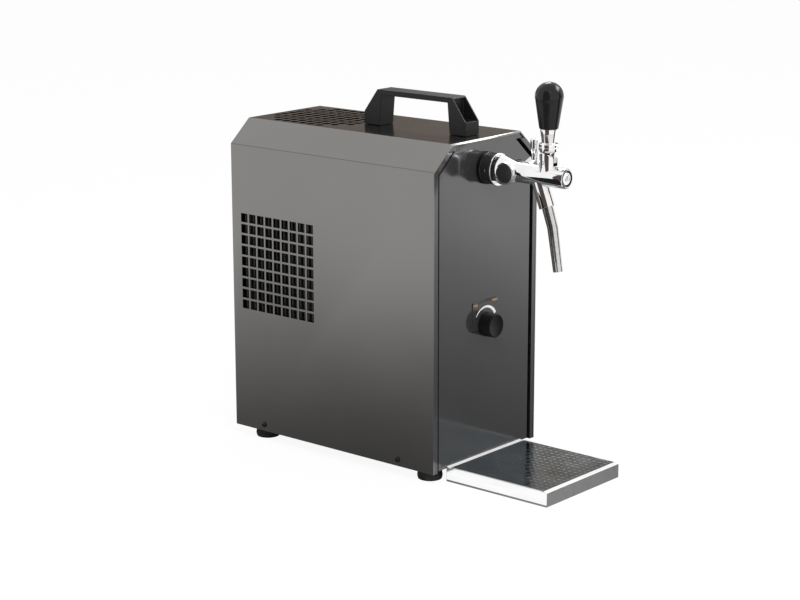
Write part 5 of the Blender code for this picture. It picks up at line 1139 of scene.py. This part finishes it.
def add_camera():
    forward = Vector((math.sin(YAW) * math.cos(PITCH), math.cos(YAW) * math.cos(PITCH), -math.sin(PITCH)))
    right = forward.cross(Vector((0, 0, 1))).normalized()
    up = right.cross(forward)
    tilted = right * math.cos(ROLL) + up * math.sin(ROLL)
    upright = up * math.cos(ROLL) - right * math.sin(ROLL)
    data = bpy.data.cameras.new("camera")
    data.sensor_fit = "HORIZONTAL"
    data.sensor_width = SENSOR
    data.lens = FOCAL_PIXELS * SENSOR / IMAGE_WIDTH
    data.clip_start = 0.05
    data.clip_end = 50
    placed = Matrix((tilted, upright, -forward)).transposed().to_4x4()
    placed.translation = EYE
    made = add("camera", data)
    made.matrix_world = placed
    bpy.context.scene.camera = made


add_camera()


# Stage, in metres; the floor is white for the camera, and shiny surfaces see it darker near the object, a
# painted shade in their reflections

FLOOR_HALF = 12
FLOOR_COLOUR = (0.82, 0.82, 0.82, 1)
FLOOR_GLOW = 1.06
GLOW_SHARE = 0.87
# FADE, STREAK and LEFT_LEVEL are greys of the painted shade that shiny surfaces see on the floor
FADE_LENGTH = 3.0
FADE = ((0.10, 0.10), (0.30, 0.19), (0.60, 0.42), (1.00, 0.76), (1.40, 1.0))
STREAK_DIRECTION = (0.78, 0.63, 0)
STREAK_REACH = 0.30
STREAK = ((-0.20, 0.77), (-0.12, 0.70), (-0.04, 0.42), (0.04, 0.56), (0.12, 0.65), (0.18, 0.76),
          (0.25, 0.92))
STREAK_STARTS = (-0.10, 0.02)
LEFT_LEVEL = (0.83, 0.83, 0.83, 1)
STREAK_GAIN = 1.3
WHITE = (1, 1, 1, 1)
DAYLIGHT = 0.55


def new_tree(owner):
    owner.use_nodes = True
    owner.node_tree.nodes.clear()
    return owner.node_tree


def ray_share(tree):
    """Outputs of a Light Path node, and 1 for camera, glossy and transmitted rays."""
    rays = node(tree, "ShaderNodeLightPath").outputs
    direct = maths(tree, "MAXIMUM", rays["Is Camera Ray"], rays["Is Glossy Ray"])
    return rays, maths(tree, "MAXIMUM", direct, rays["Is Transmission Ray"])


def grey_ramp(tree, factor, stops, start, end):
    """Greys along a factor from 0 to 1 that stands for lengths from start to end."""
    return ramp(tree, factor, [((place - start) / (end - start), grey(level)) for place, level in stops])


def fade(tree, place):
    """Grey that grows with the distance from the object, the painted shade that shiny surfaces see on the
    floor.
    """
    distance = node(tree, "ShaderNodeVectorMath", operation="LENGTH", Vector=place)
    share = maths(tree, "DIVIDE", distance.outputs["Value"], FADE_LENGTH)
    return grey_ramp(tree, share, FADE, 0, FADE_LENGTH)


def streak(tree, place):
    """Brightness across the floor, lowest in a streak that runs out to the front and the right: painted
    shade that only shiny surfaces see.
    """
    across = node(tree, "ShaderNodeVectorMath", operation="DOT_PRODUCT", Vector=place)
    across.inputs[1].default_value = STREAK_DIRECTION
    share = ranged(tree, across.outputs["Value"], -STREAK_REACH, STREAK_REACH)
    x = node(tree, "ShaderNodeSeparateXYZ", Vector=place).outputs["X"]
    blend = node(tree, "ShaderNodeMixRGB", Fac=ranged(tree, x, *STREAK_STARTS), Color1=LEFT_LEVEL,
                 Color2=grey_ramp(tree, share, STREAK, -STREAK_REACH, STREAK_REACH))
    scaled = node(tree, "ShaderNodeVectorMath", operation="SCALE", Scale=STREAK_GAIN,
                  Vector=blend.outputs["Color"])
    return scaled.outputs["Vector"]


def floor_surface():
    """Diffuse, with a share of its own light that shiny surfaces see as a fading, streaked grey: painted
    shade in their reflections.
    """
    material = bpy.data.materials.new("floor")
    tree = new_tree(material)
    diffuse = node(tree, "ShaderNodeBsdfDiffuse", Color=FLOOR_COLOUR)
    glow = node(tree, "ShaderNodeEmission", Color=WHITE, Strength=FLOOR_GLOW)
    place = node(tree, "ShaderNodeTexCoord").outputs["Object"]
    product = node(tree, "ShaderNodeVectorMath", operation="MULTIPLY", Vector=fade(tree, place))
    tree.links.new(streak(tree, place), product.inputs[1])
    shade = node(tree, "ShaderNodeEmission", Color=product.outputs["Vector"], Strength=1.0)
    rays, seen = ray_share(tree)
    glowing = mix_shaders(tree, rays["Is Glossy Ray"], glow, shade)
    mixed = mix_shaders(tree, maths(tree, "MULTIPLY", seen, GLOW_SHARE), diffuse, glowing)
    node(tree, "ShaderNodeOutputMaterial", Surface=mixed.outputs[0])
    return material


def stage_sheet(name, half_width, half_height, material):
    mesh = bmesh.new()
    bmesh.ops.create_grid(mesh, x_segments=1, y_segments=1, size=1)
    mesh.transform(Matrix.Diagonal((half_width, half_height, 1, 1)))
    data = mesh_data(name, mesh)
    data.materials.append(material)
    made = add(name, data)
    return made


def add_world():
    world = bpy.data.worlds.new("world")
    bpy.context.scene.world = world
    tree = new_tree(world)
    lighting = node(tree, "ShaderNodeBackground", Color=WHITE, Strength=DAYLIGHT)
    backdrop = node(tree, "ShaderNodeBackground", Color=WHITE, Strength=1.0)
    mixed = mix_shaders(tree, ray_share(tree)[1], lighting, backdrop)
    node(tree, "ShaderNodeOutputWorld", Surface=mixed.outputs[0])


def facing(place, target):
    turn = (Vector(target) - Vector(place)).to_track_quat("-Z", "Y")
    return Matrix.Translation(place) @ turn.to_matrix().to_4x4()


def lamp(name, place, size, power):
    """Square soft light, which shiny surfaces don't show."""
    data = bpy.data.lights.new(name, "AREA")
    data.shape = "SQUARE"
    data.size = size
    data.energy = power
    made = add(name, data)
    made.matrix_world = facing(place, (0, 0, 0.2))
    made.visible_glossy = False


def card(name, place, target, size, level):
    """Studio flag or reflector: only shiny surfaces see it, from the side that it turns to its target."""
    material = bpy.data.materials.new(name)
    tree = new_tree(material)
    emission = node(tree, "ShaderNodeEmission", Color=(*level, 1), Strength=1.0)
    clear = node(tree, "ShaderNodeBsdfTransparent")
    geometry = node(tree, "ShaderNodeNewGeometry")
    mixed = mix_shaders(tree, geometry.outputs["Backfacing"], clear, emission)
    node(tree, "ShaderNodeOutputMaterial", Surface=mixed.outputs[0])
    made = stage_sheet(name, size[0] / 2, size[1] / 2, material)
    made.matrix_world = facing(place, target)
    made.visible_camera = False
    made.visible_diffuse = False
    made.visible_shadow = False
    made.visible_transmission = False


stage_sheet("floor", FLOOR_HALF, FLOOR_HALF, floor_surface())
add_world()
lamp("key", (-1.6, -1.6, 2.2), 1.4, 40)
lamp("fill", (1.8, -1.4, 1.4), 1.2, 14)
card("flag_back", place=(1.15, 0.95, 0.68), target=(0, 0, 0.68), size=(2.6, 0.55), level=(0.19, 0.16, 0.14))
card("flag_camera", place=(-0.391, -0.262, 0.51), target=(0, -0.178, 0.51), size=(0.42, 0.64),
     level=(0.085, 0.068, 0.062))
card("flag_right", place=(0.2347, -0.4895, 0.33), target=(0, -0.178, 0.33), size=(0.152, 0.50),
     level=grey(0.03))
card("flag_front", place=(0.94, -0.92, 0.36), target=(0, -0.15, 0.05), size=(0.50, 0.26),
     level=(0.42, 0.42, 0.43))
card("flag_left", place=(-0.245, -0.0955, 0.165), target=(-0.245, -1, 0.165), size=(0.30, 0.27),
     level=grey(0.015))
card("box_right", place=(0.95, -0.72, 1.38), target=(0, -0.12, 0.38), size=(1.0, 0.5), level=grey(9.0))
card("box_back", place=(0.76, 0.50, 1.25), target=(0, -0.1, 0.34), size=(0.40, 0.40), level=(9.0, 9.2, 9.6))
card("box_left", place=(-0.95, -0.75, 1.28), target=(0, 0.03, 0.40), size=(0.50, 0.40), level=grey(4.0))
card("tray_reflector", place=(-0.134, -0.165, 0.001), target=(-0.134, -0.165, 1), size=(0.13, 0.19),
     level=grey(1.05))

bpy.context.scene.view_settings.view_transform = "Standard"
